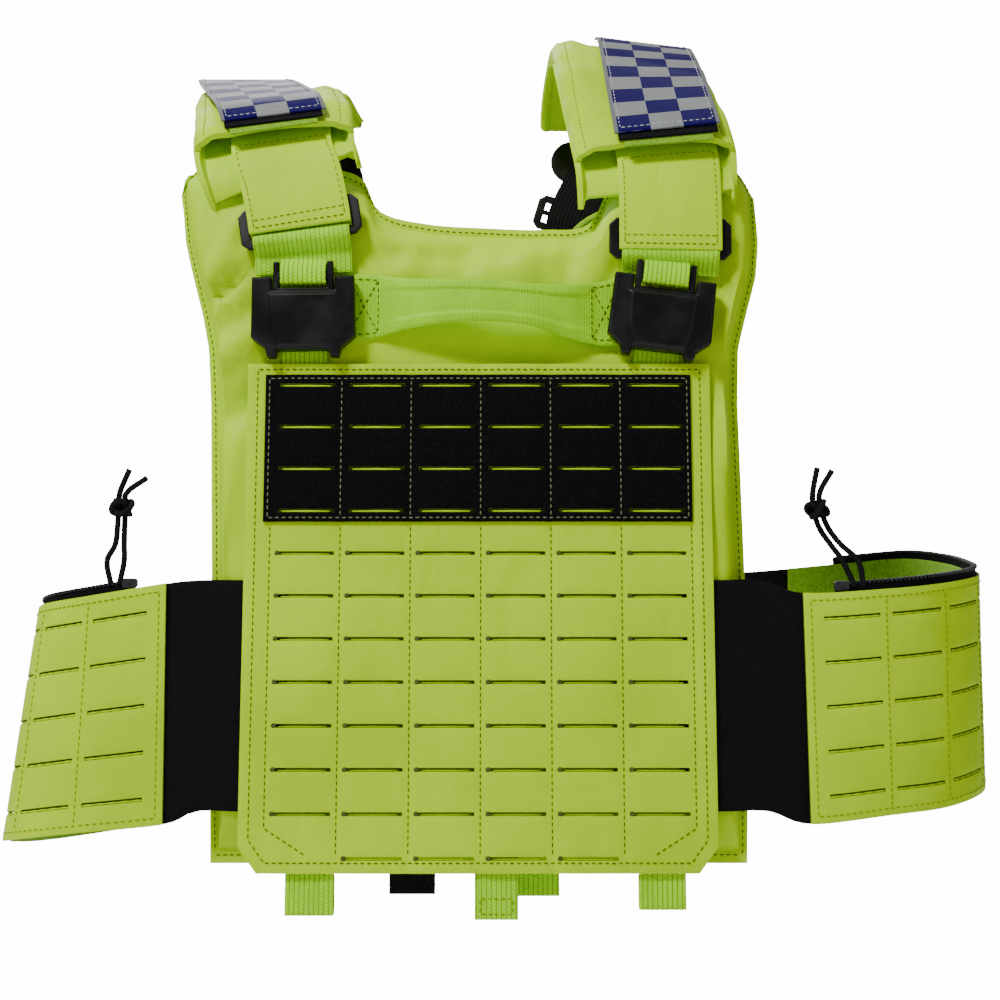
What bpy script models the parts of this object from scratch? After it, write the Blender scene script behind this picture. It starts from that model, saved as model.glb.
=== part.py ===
"""A high-visibility tactical vest: a plate carrier of hollow bags, pierced panels, straps and buckles.

Sizes in the tables are millimetres; the objects are built in metres, +Z up, front towards -Y.
The origin lies midway between the undersides of the two shoulder pads, over the middle of the torso.
"""

import math

import bmesh
import bpy
import numpy as np
from mathutils import Euler, Matrix, Vector

MM = 0.001
GAP = 0.3  # clearance between pieces that lie on each other

# Panels: where each bag stands, how it leans, and its layers counted outwards from its middle
FRONT_PLACE, FRONT_LEAN = (0, -92, -250), -8
BACK_PLACE, BACK_LEAN, BACK_ROLL = (0, 110, -262), 5, -5
FACE_OUT, FACE_WALL = 8.0, 2.0
LINING_OUT, LINING_WALL = -7.0, 4.0
ELASTIC_WALL = 1.8
FLAP_WALL = 2.0
LOOP_FIELD_WALL = 1.2
FLAP_OUT = FACE_OUT + GAP + ELASTIC_WALL + GAP + FLAP_WALL
LOOP_FIELD_OUT = FLAP_OUT + GAP + LOOP_FIELD_WALL
BAG_BOTTOM = -184
SHOULDER_BEND, BEND_FROM, BEND_TO = 14.0, 130, 211

# Webbing ladder on the flap: pockets of 38.1 mm, slots 31 mm long
COLUMN, ROW = 38.1, 23.1
SLOT_LONG, SLOT_TALL, SLOT_INSET = 31.0, 2.0, 4.0
COLUMNS, ROWS = 6, 12
FIRST_COLUMN, FIRST_ROW = -115.4, 73.8
FLAP_LEFT, FLAP_RIGHT, FLAP_TOP, FLAP_BOTTOM = -129.0, 124.5, 86.0, -188.0
BACK_FLAP_BOTTOM = -176.0
CHAMFER_WIDE, CHAMFER_TALL = 10.0, 14.0
LOOP_LEFT, LOOP_RIGHT, LOOP_TOP, LOOP_BOTTOM = -119.0, 113.8, 79.7, -1.6
LOOP_ROWS = 4

# Cummerbund
PANEL_WALL, LINER_WALL, TAPE_WALL = 1.6, 1.6, 1.4
BAND_COLUMNS, BAND_ROWS = 5, 5
BAND_FIRST_SLOT = 10.9  # the elastic reaches this far under the panel as well
BAND_ROW_SHARE, BAND_LOW_SHARE, BAND_SLOT_SHARE = 0.193, 0.115, 0.016  # shares of the band's height
BAND_PLAIN_STEP = 20.0
BAND_GAP = 0.5
TAPE_UNDER, TAPE_OVER = 9.0, 5.0

# Straps, pads and hardware
STEP = 15.0
STRAP_WIDE, STRAP_WALL = 57.0, 2.6
WEBBING_WIDE, WEBBING_WALL = 54.0, 1.8
REAR_WEBBING_WIDE, NARROW_WIDE = 50.0, 25.0
PAD_WALL = 3.5
PATCH_WIDE, PATCH_WALL = 60.0, 1.2
SLIDER_WIDE, SLIDER_TALL, SLIDER_WALL, SLIDER_CUT = 68.0, 24.0, 2.6, 4.0
SLIDER_SLOT_WIDE, SLIDER_SLOT_TALL, SLIDER_BAR = 57.0, 5.5, 3.0
RING_RADIUS, RING_DISC_RADIUS, RING_WALL, RING_RECESS = 15.0, 10.0, 3.0, 1.2
RING_RIM_CUT, RING_DISC_CUT = 0.8, 0.6
CORD = 3.2
KNOT_RADIUS, KNOT_HALF_TALL, KNOT_HALF_WALL = 5.5, 5.0, 1.6
PULLER_LONG, PULLER_WIDE, PULLER_TALL = 8.0, 4.0, 5.0

# Outline of each bag: s is the height on the panel, then its left and right edges
BAG_SIDES = (
    (-184, -146, 142),
    (-150, -147, 143),
    (-33, -149, 144),
    (67, -152, 142),
    (98, -154, 143),
    (118, -158, 148),
    (140, -164, 154),
    (160, -169, 156),
    (190, -173, 155),
    (200, -171, 151),
    (214, -162, 145),
)
# Top of each bag, from the left ear over the neck to the right ear: x, s
BAG_TOP = (
    (-172.5, 192),
    (-167, 206),
    (-157, 211),
    (-130, 211.5),
    (-95, 209),
    (-71, 202),
    (-59, 180),
    (-32, 172),
    (0, 169.5),
    (34, 168.5),
    (60, 172),
    (76, 200),
    (105, 212),
    (135, 214),
    (147, 205),
    (154.6, 188),
)
BAG_ROWS = (0, 0.018, 0.06, 0.16, 0.28, 0.40, 0.52, 0.64, 0.74, 0.83, 0.90, 0.95, 0.985, 1)
BAG_RIM_SHARE = 0.015  # least share of the width between a side and the next column below the ears
BAG_EDGE = (-3.7, -3.7, 6.6, 8.0)  # how far out the face stands at its rim and one, two and three rows in
# Soft folds pressed into the face: x, s, angle in degrees, half length, half width, height
FOLDS = (
    (-138, 96, 38, 40, 7, 3.0),
    (-134, 62, 34, 34, 7, -3.0),
    (-118, 128, 52, 26, 8, -2.5),
    (132, 44, 86, 46, 6, 3.0),
    (-20, 152, 4, 50, 8, -2.0),
    (60, 108, -28, 30, 8, -2.0),
)

# Side bands, from the front elastic round to the back elastic: top x, y, z and bottom x, y, z
RIGHT_RING = (
    (172, -109, -288, 174, -122, -410),
    (217, -106, -286, 219, -112, -407),
    (252, -92, -283.5, 254, -96, -405.5),
    (279, -62, -281, 281, -65, -403),
    (287, -20, -279, 290, -22, -401),
    (286, 20, -277, 289, 20, -399),
    (273, 62, -276, 275, 64, -399),
    (245, 95, -280, 247, 98, -403),
    (206, 114, -285, 208, 121, -407),
)
LEFT_RING = (
    (-170, -108, -283, -169, -123, -410),
    (-212, -106, -290, -218, -117, -416),
    (-241, -86, -296, -258, -93, -425),
    (-252, -50, -303, -271, -54, -434),
    (-255, -5, -310, -273, -6, -444),
    (-248, 45, -318, -263, 45, -452),
    (-228, 86, -322, -236, 89, -455),
    (-191, 112, -322, -195, 119, -450),
)
FRONT_BAND_S, BACK_BAND_S = (-33, -156), (-42, -160)
RING_UNDER = (105, 129, 152)  # where the elastic starts, leaves the cover of the flap and leaves the bag

# Shoulder routes, from the front buckle over the shoulder to the back: x, y, z, bank in degrees
LEFT_ROUTE = (
    (-99, -91, -125, 4),
    (-101, -85.4, -90, 6),
    (-107, -76.5, -60, 6),
    (-114, -66, -40, 6),
    (-118, -42, -20, 6),
    (-124, -8, -5, 4),
    (-130, 28, 9, 2),
    (-134, 62, 20, 0),
    (-132, 90, 22, 1),
    (-122, 110, 4, 2),
    (-108, 116, -26, 4),
)
RIGHT_ROUTE = (
    (103, -91, -138, 1),
    (104, -86.4, -100, 1),
    (104.5, -76.5, -62, 4),
    (104, -64, -41, 6),
    (101, -39, -17, 2),
    (98, -10, 7, -3),
    (96, 20, 27, -6),
    (95, 50, 41, -7),
    (93, 76, 42, -5),
    (90, 100, 25, -2),
    (87, 113, -5, 2),
)
BACK_STRAP_ENDS = ((204, 13.0), (176, 9.5), (132, 9.5))  # s and how far out on the back panel
BACK_STRAP_X = {"left": -98, "right": 84}
# Shoulder sleeve, clockwise seen from its mouth: across the strap, lift above its middle
SLEEVE = (
    (-46, 1),
    (-41, 6.5),
    (-25, 8.5),
    (0, 9),
    (25, 8.5),
    (41, 6.5),
    (46, 1),
    (43, -5.1),
    (38, -6.6),
    (-38, -6.6),
    (-43, -5.1),
)
SLEEVE_TOP_COLUMNS = 6

# Stations along each shoulder route: sleeve's tongue, its mouth, its end, and the two sliders
SLEEVE_STATIONS = {"left": (5, 7, 20), "right": (5, 7, 21)}
STRAP_STATIONS = {"left": (2.6, 19), "right": (2.6, 20)}
WEBBING_STATIONS = {"left": (0.9, 3.6), "right": (1.7, 3.9)}
SLIDER_STATIONS = {"left": (2.9, 23.6), "right": (3.1, 25.6)}
PATCH_STATIONS = {"left": (7.1, 17.0), "right": (7.1, 17.0)}
RING_STATION = 23.2
# Sideways places on each strap: the sleeve, then the patch at its front and at its rear
SLEEVE_ASIDE = {"left": -4, "right": -7}
PATCH_ASIDE = {"left": (-2, -24), "right": (1, 4)}

# Buckle outlines as x, s about the middle of the buckle
SOCKET_OUTLINE = (
    (-28, 20),
    (-17.6, 20),
    (-17.2, 12.5),
    (17.2, 12.5),
    (17.6, 20),
    (28, 20),
    (28.5, -14),
    (21, -20),
    (19.5, -25),
    (15, -25),
    (14, -21),
    (-14, -21),
    (-15, -25),
    (-19.5, -25),
    (-21, -20),
    (-28.5, -14),
)
PLUG_OUTLINE = (
    (-16.5, 29),
    (-13.2, 29),
    (-13.2, 23),
    (13.2, 23),
    (13.2, 29),
    (16.5, 29),
    (16.5, 3),
    (-16.5, 3),
)
PLUG_SLOT_WIDE, PLUG_SLOT_TALL, PLUG_SLOT_S = 26.4, 4.4, 16.3
MOUTH_WIDE, MOUTH_TALL, MOUTH_S = 33.0, 24.0, 14.7  # room for the plug inside the socket
# Upper strip: s where it turns down into the plug's slot, lies flat, bends, and meets the strap
BAR_FOOT, STRIP_FLAT, STRIP_BEND, STRIP_TOP = 16.2, 22.5, 26.0, 31.0
STRIP_DROP, STRIP_TOP_LIFT = 1.0, 3.6
SOCKET_WALL, PLUG_WALL = 9.0, 4.6
LOWER_STRIP_TOP, LOWER_STRIP_UNDER = -18.0, 8.0  # its top, and how far it reaches under the flap
BUCKLES = {"left": (-98.8, 114, 1), "right": (98.5, 113.5, -7)}  # middle x, s and turn in degrees

# Zip pull cords, from the puller up to the knot: x, z, how far apart from the middle each strand runs
LEFT_CORD = (
    (-198.3, -278, 2.4),
    (-198, -271, 4.6),
    (-195.8, -262, 2.4),
    (-195, -252, 1.9),
    (-194.5, -242, 1.9),
    (-193.8, -234, 1.9),
)
RIGHT_CORD = (
    (203, -278, 2.4),
    (198.5, -271, 4.2),
    (190.5, -262, 2.8),
    (184, -253, 2.4),
    (180.5, -243, 2.0),
    (180, -234, 1.9),
)
KNOT_ROW = 4
# Ends of the two strands past the knot: x, z, x, z
CORD_TAILS = {"left": (-190.5, -221.5, -181, -226), "right": (180.5, -220.5, 188.5, -222)}
CORD_POINTS = 11

# Pieces at the bottom edge: middle x, width, lowest s
BOTTOM_LOOPS = {"bottom_loop_left": (-91, 26, -210.5), "bottom_loop_right": (95, 25, -207.5)}
CENTRE_STRAP = (7.5, 23, -212)
BLACK_TAB, YELLOW_TAB = (-38, 25, -201), (30, 23, -202)
# How high they reach behind the flap, and the bend of a hanging loop
STRAP_TOP, LOOP_REAR_TOP, TAB_TOP, CENTRE_STRAP_FREE = -166, -189, -160, -190
LOOP_DEEP, LOOP_BEND_TALL, LOOP_BEND_RISE = 4.6, 3.2, 4.0
HANDLE_CROWN = 2.5
TONGUE_TAPER = 0.02  # how much narrower the sleeve's tongue is at each station past the mouth


def metres(point):
    return Vector(point) * MM


def panel_matrix(place, lean, roll=0):
    turn = Euler((math.radians(lean), math.radians(roll), 0)).to_matrix().to_4x4()
    return Matrix.Translation(Vector(place)) @ turn


FRONT_MATRIX = panel_matrix(FRONT_PLACE, FRONT_LEAN)
BACK_MATRIX = panel_matrix(BACK_PLACE, BACK_LEAN, BACK_ROLL)


def front_at(x, s, out):
    """A point of the front panel, in millimetres of the world."""
    return FRONT_MATRIX @ Vector((x, -out, s))


def back_at(x, s, out):
    """A point of the back panel, in millimetres of the world."""
    return BACK_MATRIX @ Vector((x, out, s))


def clear_scene():
    for item in list(bpy.data.objects):
        bpy.data.objects.remove(item)


def material(name, colour, roughness, metallic=0.0):
    made = bpy.data.materials.get(name) or bpy.data.materials.new(name)
    made.use_nodes = True
    shader = made.node_tree.nodes["Principled BSDF"]
    shader.inputs["Base Color"].default_value = (*colour, 1)
    shader.inputs["Roughness"].default_value = roughness
    shader.inputs["Metallic"].default_value = metallic
    return made


def yellow_cloth(name):
    return material(name, (0.58, 0.80, 0.01), 0.45)


def yellow_webbing(name):
    return material(name, (0.42, 0.78, 0.03), 0.6)


def black_plastic(name):
    return material(name, (0.012, 0.012, 0.013), 0.35)


def black_cloth(name):
    return material(name, (0.010, 0.011, 0.012), 0.85)


def add(name, mesh, finish, parent=None):
    made = bpy.data.objects.new(name, mesh)
    made.data.materials.append(finish)
    bpy.data.collections["tactical_vest"].objects.link(made)
    made.parent = parent
    return made


def thicken(piece, wall):
    """Gives an open sheet its wall, inwards from its outer face."""
    shell = piece.modifiers.new("wall", "SOLIDIFY")
    shell.thickness = wall * MM
    shell.offset = -1
    shell.use_even_offset = True


def sheet(name, columns, rows, place, wall, finish, parent=None, holes=(), closed=False):
    """A sheet of columns by rows cells whose corners are put at place(i, j), with its wall."""
    form = bmesh.new()
    bmesh.ops.create_grid(form, x_segments=columns, y_segments=rows, size=0.5)
    cut = []
    for face in form.faces:
        middle = face.calc_center_median()
        cell = (math.floor((middle.x + 0.5) * columns), math.floor((middle.y + 0.5) * rows))
        if cell in holes:
            cut.append(face)
    for corner in form.verts:
        i, j = round((corner.co.x + 0.5) * columns), round((corner.co.y + 0.5) * rows)
        corner.co = metres(place(i, j))
    bmesh.ops.delete(form, geom=cut, context="FACES")
    if closed:
        bmesh.ops.remove_doubles(form, verts=form.verts, dist=0.01 * MM)
    mesh = bpy.data.meshes.new(name)
    form.to_mesh(mesh)
    form.free()
    piece = add(name, mesh, finish, parent)
    thicken(piece, wall)
    return piece


def plate(name, outline, depth, finish, matrix, parent=None, holes=(), edge=0.0):
    """A flat piece of an outline, moved by matrix from its own plane XY, whose middle it lies on."""
    curve = bpy.data.curves.new(name, "CURVE")
    curve.dimensions = "2D"
    curve.fill_mode = "BOTH"
    curve.extrude = (depth / 2 - edge) * MM
    curve.bevel_depth = edge * MM
    curve.bevel_resolution = 0
    curve.offset = -edge * MM
    for ring in (outline, *holes):
        spline = curve.splines.new("POLY")
        spline.points.add(len(ring) - 1)
        for point, (x, s) in zip(spline.points, ring):
            point.co = (x * MM, s * MM, 0, 1)
        spline.use_cyclic_u = True
    flat = bpy.data.objects.new(name + "_outline", curve)
    bpy.data.collections["tactical_vest"].objects.link(flat)
    reader = bpy.context.evaluated_depsgraph_get()
    mesh = bpy.data.meshes.new_from_object(flat.evaluated_get(reader))
    bpy.data.objects.remove(flat)
    form = bmesh.new()
    form.from_mesh(mesh)
    bmesh.ops.remove_doubles(form, verts=form.verts, dist=0.001 * MM)
    bmesh.ops.recalc_face_normals(form, faces=form.faces)
    form.to_mesh(mesh)
    form.free()
    mesh.materials.clear()
    piece = add(name, mesh, finish, parent)
    piece.location = matrix.to_translation() * MM
    piece.rotation_euler = matrix.to_euler()
    return piece


def box_outline(wide, tall, corner=0.0, middle=(0, 0)):
    """Corners of a rectangle, each cut by corner."""
    x, s = wide / 2, tall / 2
    ring = [(-x, -s), (x, -s), (x, s), (-x, s)]
    if corner:
        inner_x, inner_s = x - corner, s - corner
        ring = [(-inner_x, -s), (inner_x, -s), (x, -inner_s), (x, inner_s)]
        ring += [(-px, -ps) for px, ps in ring]
    return [(px + middle[0], ps + middle[1]) for px, ps in ring]


def table_value(table, at, column):
    """The value of a table's column where its first column has the value at."""
    return float(np.interp(at, [row[0] for row in table], [row[column] for row in table]))


def smooth_line(points, per_piece=16):
    """Many points of a smooth curve through the rows of a table."""
    rows = np.array(points, float)
    rows = np.vstack((2 * rows[0] - rows[1], rows, 2 * rows[-1] - rows[-2]))
    fine = []
    for k in range(1, len(rows) - 2):
        a, b, c, d = rows[k - 1], rows[k], rows[k + 1], rows[k + 2]
        for t in np.linspace(0, 1, per_piece, endpoint=False):
            bend = (2 * a - 5 * b + 4 * c - d) * t**2 + (3 * b - a - 3 * c + d) * t**3
            fine.append(0.5 * (2 * b + (c - a) * t + bend))
    fine.append(rows[-2])
    return np.array(fine)


class Route:
    """A smooth line through a table whose first three columns are a place, read by length."""

    per_piece = 16

    def __init__(self, table):
        self.fine = smooth_line(table, self.per_piece)
        line = self.middle_line()
        steps = np.linalg.norm(np.diff(line, axis=0), axis=1)
        self.along = np.concatenate(([0], np.cumsum(steps)))
        self.length = float(self.along[-1])

    def middle_line(self):
        return self.fine[:, :3]

    def row_length(self, row):
        """The length at which the line passes a row of its table."""
        return float(self.along[row * self.per_piece])

    def row(self, length):
        return np.array([np.interp(length, self.along, column) for column in self.fine.T])

    def frame(self, length):
        """Middle, across and outward directions of a strap that lies on the route."""
        row = self.row(length)
        ahead, behind = self.row(min(length + 2, self.length)), self.row(max(length - 2, 0))
        run = Vector(ahead[:3] - behind[:3]).normalized()
        bank = math.radians(row[3])
        level = Vector((math.cos(bank), 0, math.sin(bank)))
        across = (level - run * level.dot(run)).normalized()
        return Vector(row[:3]), across, across.cross(run)


def ribbon(name, route, first, last, wide, lift, wall, finish, aside=(0, 0)):
    """A strap along a route from station first to last, its middle lifted off the route's."""
    whole = range(math.floor(first) + 1, math.ceil(last))
    stations = [first, *whole, last]

    def place(i, j):
        middle, across, out = route.frame(stations[j] * STEP)
        shift = aside[0] + (aside[1] - aside[0]) * j / (len(stations) - 1)
        return middle + across * ((i - 0.5) * wide + shift) + out * (lift + wall / 2)

    sheet(name, 1, len(stations) - 1, place, wall, finish)


def bag_bend(s):
    """How far the top of a bag curls back towards the shoulder at height s."""
    share = max(0.0, (s - BEND_FROM) / (BEND_TO - BEND_FROM))
    return -SHOULDER_BEND * share**2


def fold_height(x, s):
    """The soft folds of the face at a place of the panel."""
    height = 0.0
    for fold_x, fold_s, angle, long, wide, tall in FOLDS:
        turn = math.radians(angle)
        along = (x - fold_x) * math.cos(turn) + (s - fold_s) * math.sin(turn)
        aside = (s - fold_s) * math.cos(turn) - (x - fold_x) * math.sin(turn)
        height += tall * math.exp(-((along / long) ** 2) - (aside / wide) ** 2)
    return height


def bag_place(column, row, inset=0.0):
    """Place x, s of a corner of the bag's grid; inset pulls the outline in."""
    top_x, top_s = BAG_TOP[column]
    left, right = table_value(BAG_SIDES, top_s, 1), table_value(BAG_SIDES, top_s, 2)
    share = min(1.0, max(0.0, (top_x - left) / (right - left)))
    rim = min(1 - BAG_RIM_SHARE, max(BAG_RIM_SHARE, share))
    share = rim + (share - rim) * BAG_ROWS[row] ** 8
    share = {0: 0.0, len(BAG_TOP) - 1: 1.0}.get(column, share)
    s = BAG_BOTTOM + inset + BAG_ROWS[row] * (top_s - BAG_BOTTOM - 2 * inset)
    left, right = table_value(BAG_SIDES, s, 1) + inset, table_value(BAG_SIDES, s, 2) - inset
    return left + share * (right - left), s


def bag_face(name, parent, outwards, folded):
    """The outer sheet of a bag, turned back all round so that it is hollow behind."""
    columns, rows = len(BAG_TOP) - 1, len(BAG_ROWS) - 1

    def place(i, j):
        column = i if outwards < 0 else columns - i
        x, s = bag_place(column, j)
        ring = min(i, columns - i, j, rows - j, len(BAG_EDGE) - 1)
        out = BAG_EDGE[ring] + bag_bend(s)
        if folded and ring > 1:
            out += fold_height(x, s) * min(1.0, ring / 3)
        return x, outwards * out, s

    piece = sheet(name, columns, rows, place, FACE_WALL, yellow_cloth(name), parent)
    piece.modifiers["wall"].use_even_offset = False


def bag_lining(name, parent, outwards):
    """The padded inner sheet of a bag, against the wearer."""
    columns, rows = len(BAG_TOP) - 1, len(BAG_ROWS) - 1
    kept_rows = [0, 5, *range(8, rows + 1)]

    def place(i, j):
        column = i if outwards < 0 else columns - i
        x, s = bag_place(column, kept_rows[j], 1.0)
        return x, outwards * (LINING_OUT + bag_bend(s)), s

    finish = material(name, (0.30, 0.52, 0.05), 0.95)
    piece = sheet(name, columns, len(kept_rows) - 1, place, LINING_WALL, finish, parent)
    piece.modifiers["wall"].use_even_offset = False


def ladder_lines(first, step, count, tall):
    """Grid lines from 0 to 1 for rows of slots, and which of the cells between the lines are slots."""
    lines, slots = [0.0], []
    for k in range(count):
        slots.append(len(lines))
        lines += [first + k * step - tall / 2, first + k * step + tall / 2]
    lines.append(1.0)
    return lines, slots


def slots_of(rows, skipped=()):
    """The outlines of the slots of the ladder's rows, counted from the top."""
    first = FIRST_COLUMN + SLOT_INSET + SLOT_LONG / 2
    cells = [(k, j) for j in range(rows) for k in range(COLUMNS) if (k, j) not in skipped]
    return [box_outline(SLOT_LONG, SLOT_TALL, 0, (first + k * COLUMN, FIRST_ROW - j * ROW)) for k, j in cells]


def upright_plane(out):
    """A plane that stands on the front panel, out from its middle."""
    return Matrix.Translation((0, -out, 0)) @ Euler((math.radians(90), 0, 0)).to_matrix().to_4x4()


def front_flap(parent):
    """The pierced flap over the front bag, with its lower corners cut off."""
    low, high = FLAP_BOTTOM, FLAP_TOP
    outline = [
        (FLAP_LEFT + CHAMFER_WIDE, low),
        (FLAP_RIGHT - CHAMFER_WIDE, low),
        (FLAP_RIGHT, low + CHAMFER_TALL),
        (FLAP_RIGHT, high),
        (FLAP_LEFT, high),
        (FLAP_LEFT, low + CHAMFER_TALL),
    ]
    slots = slots_of(ROWS, ((0, ROWS - 1), (COLUMNS - 1, ROWS - 1)))
    plane = upright_plane(FLAP_OUT - FLAP_WALL / 2)
    plate("front_flap", outline, FLAP_WALL, yellow_cloth("front_flap"), plane, parent, slots)


def loop_field(parent):
    """The black loop patch at the top of the flap, pierced with the flap."""
    middle = ((LOOP_LEFT + LOOP_RIGHT) / 2, (LOOP_BOTTOM + LOOP_TOP) / 2)
    outline = box_outline(LOOP_RIGHT - LOOP_LEFT, LOOP_TOP - LOOP_BOTTOM, 0, middle)
    plane = upright_plane(LOOP_FIELD_OUT - LOOP_FIELD_WALL / 2)
    finish = black_cloth("loop_field")
    plate("loop_field", outline, LOOP_FIELD_WALL, finish, plane, parent, slots_of(LOOP_ROWS))


def back_flap(parent):
    """The plain flap that covers the back ends of the side bands."""

    def place(i, j):
        return (FLAP_RIGHT, FLAP_LEFT)[i], FLAP_OUT, (BACK_FLAP_BOTTOM, FLAP_TOP)[j]

    sheet("back_flap", 1, 1, place, FLAP_WALL, yellow_cloth("back_flap"), parent)


def grab_handle(parent):
    """A carrying handle of webbing across the chest, narrowed and standing out at its middle."""
    # x, lower edge s, upper edge s, how far out
    stations = (
        (-76, 99, 138, 0),
        (-60, 101, 137, 0),
        (-40, 105, 133.5, 5),
        (-18, 107, 131.5, 11),
        (5, 107, 130, 13),
        (26, 105, 129, 11),
        (46, 100, 130, 5),
        (64, 97, 133, 0),
        (77, 97, 136, 0),
    )
    lowest = FACE_OUT + GAP + WEBBING_WALL

    def place(i, j):
        x, low, high, out = stations[i]
        crown = HANDLE_CROWN * (1 - (2 * j / 3 - 1) ** 2) * (out > 0)
        return x, -(lowest + out + crown), low + (high - low) * j / 3

    finish = yellow_webbing("grab_handle")
    sheet("grab_handle", len(stations) - 1, 3, place, WEBBING_WALL, finish, parent)


def flat_strip(name, parent, wide, path, finish, centre):
    """A strip of webbing that follows rows of s and out on a panel."""

    def place(i, j):
        s, out = path[j]
        return centre + (i - 0.5) * wide, -out, s

    sheet(name, 1, len(path) - 1, place, WEBBING_WALL, finish, parent)


class Ring(Route):
    """The run of a side band: a table of its top and bottom edges, read by length and height."""

    def __init__(self, table, side):
        super().__init__(table)
        self.side = side

    def middle_line(self):
        return (self.fine[:, :3] + self.fine[:, 3:]) / 2

    def at(self, length, share, out, over=0.0):
        """A point at a share of the band's height, out from its middle layer and over its edge."""
        row = self.row(length)
        ahead, behind = self.row(min(length + 2, self.length)), self.row(max(length - 2, 0))
        run = Vector((ahead[:3] + ahead[3:] - behind[:3] - behind[3:]) / 2).normalized()
        low, high = Vector(row[3:]), Vector(row[:3])
        up = (high - low).normalized()
        return low + (high - low) * share + up * over + run.cross(up).normalized() * out * self.side


def buckle_matrix(side, out):
    """Where the middle of a buckle is on the front panel, its plane turned upright."""
    x, s, turn = BUCKLES[side]
    upright = Euler((math.radians(90), 0, 0)).to_matrix().to_4x4()
    return Matrix.Translation((x, -out, s)) @ upright @ Matrix.Rotation(math.radians(turn), 4, "Z")


def buckle_strip(name, side, parent, path):
    """A narrow strip of webbing in a buckle's own frame, through rows of s and out."""
    x, s, turn = BUCKLES[side]
    slide, hold = math.sin(math.radians(turn)), math.cos(math.radians(turn))

    def place(i, j):
        along, out = path[j]
        aside = (i - 0.5) * NARROW_WIDE
        return x + aside * hold - along * slide, -out, s + aside * slide + along * hold

    sheet(name, 1, len(path) - 1, place, WEBBING_WALL, yellow_webbing(name), parent)


def buckle(side, parent):
    """A side-release buckle: socket, plug, the loop that carries it and the strap below it."""
    base = FACE_OUT + GAP + WEBBING_WALL + GAP
    middle = base + SOCKET_WALL / 2
    matrix = buckle_matrix(side, middle)
    finish = black_plastic("buckle_plastic")
    socket = plate("buckle_socket_" + side, SOCKET_OUTLINE, SOCKET_WALL, finish, matrix, parent, edge=1.2)
    slot = box_outline(PLUG_SLOT_WIDE, PLUG_SLOT_TALL, 0, (0, PLUG_SLOT_S))
    plate("buckle_plug_" + side, PLUG_OUTLINE, PLUG_WALL, finish, matrix, parent, (slot,), 0.5)
    opening = box_outline(MOUTH_WIDE + 2 * GAP, MOUTH_TALL, 0, (0, MOUTH_S))
    mouth = plate("mouth_cutter_" + side, opening, PLUG_WALL + 2 * GAP, finish, matrix, parent)
    bpy.data.collections["tactical_vest"].objects.unlink(mouth)
    bpy.data.collections["cutters"].objects.link(mouth)
    mouth.hide_render = True
    mouth.display_type = "WIRE"
    pocket = socket.modifiers.new("mouth", "BOOLEAN")
    pocket.object = mouth
    pocket.operation = "DIFFERENCE"
    pocket.solver = "EXACT"
    over = PLUG_WALL / 2 + GAP + WEBBING_WALL
    path = (
        (STRIP_TOP, base + STRIP_TOP_LIFT),
        (STRIP_BEND, middle + over - STRIP_DROP),
        (STRIP_FLAT, middle + over),
        (BAR_FOOT, middle + over),
        (BAR_FOOT, middle - WEBBING_WALL / 2),
    )
    buckle_strip("buckle_strap_upper_" + side, side, parent, path[::-1])
    low = FACE_OUT + GAP + WEBBING_WALL
    bottom = FLAP_TOP - LOWER_STRIP_UNDER - BUCKLES[side][1]
    buckle_strip("buckle_strap_lower_" + side, side, parent, ((bottom, low), (LOWER_STRIP_TOP, low)))


def shoulder(side, route):
    """The strap over one shoulder with its sleeve, patch, sliders and webbing."""
    tongue, mouth, end = SLEEVE_STATIONS[side]
    start, stop = STRAP_STATIONS[side]
    name = "shoulder_strap_" + side
    ribbon(name, route, start, stop - 0.05, STRAP_WIDE, 0, STRAP_WALL, yellow_cloth(name))
    name = "shoulder_webbing_" + side
    under = -STRAP_WALL / 2 - SLIDER_WALL - 3 * GAP - WEBBING_WALL / 2
    first, last = WEBBING_STATIONS[side]
    ribbon(name, route, first, last, WEBBING_WIDE, under, WEBBING_WALL, yellow_webbing(name))
    name = "rear_strap_" + side
    last = route.length / STEP
    ribbon(name, route, stop, last, REAR_WEBBING_WIDE, 0, WEBBING_WALL, black_cloth(name))
    sleeve(side, route, tongue, mouth, end)
    patches(side, route)
    front_station, rear_station = SLIDER_STATIONS[side]
    slider("slider_" + side, route, front_station, -STRAP_WALL / 2 - 2 * GAP - SLIDER_WALL / 2)
    slider("rear_slider_" + side, route, rear_station, WEBBING_WALL / 2 + 7 * GAP + SLIDER_WALL / 2)


def sleeve(side, route, tongue, mouth, end):
    """The padded sleeve round a strap, its lower layer reaching past its mouth."""
    around = len(SLEEVE)

    def place(i, j):
        aside, lift = SLEEVE[i % around]
        middle, across, out = route.frame((tongue + j) * STEP)
        narrow = 1 - TONGUE_TAPER * max(0, mouth - tongue - j)
        return middle + across * (aside * narrow + SLEEVE_ASIDE[side]) + out * lift

    holes = {(i, j) for i in range(SLEEVE_TOP_COLUMNS) for j in range(mouth - tongue)}
    name = "shoulder_pad_" + side
    sheet(name, around, end - tongue, place, PAD_WALL, yellow_cloth(name), None, holes, True)


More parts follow.
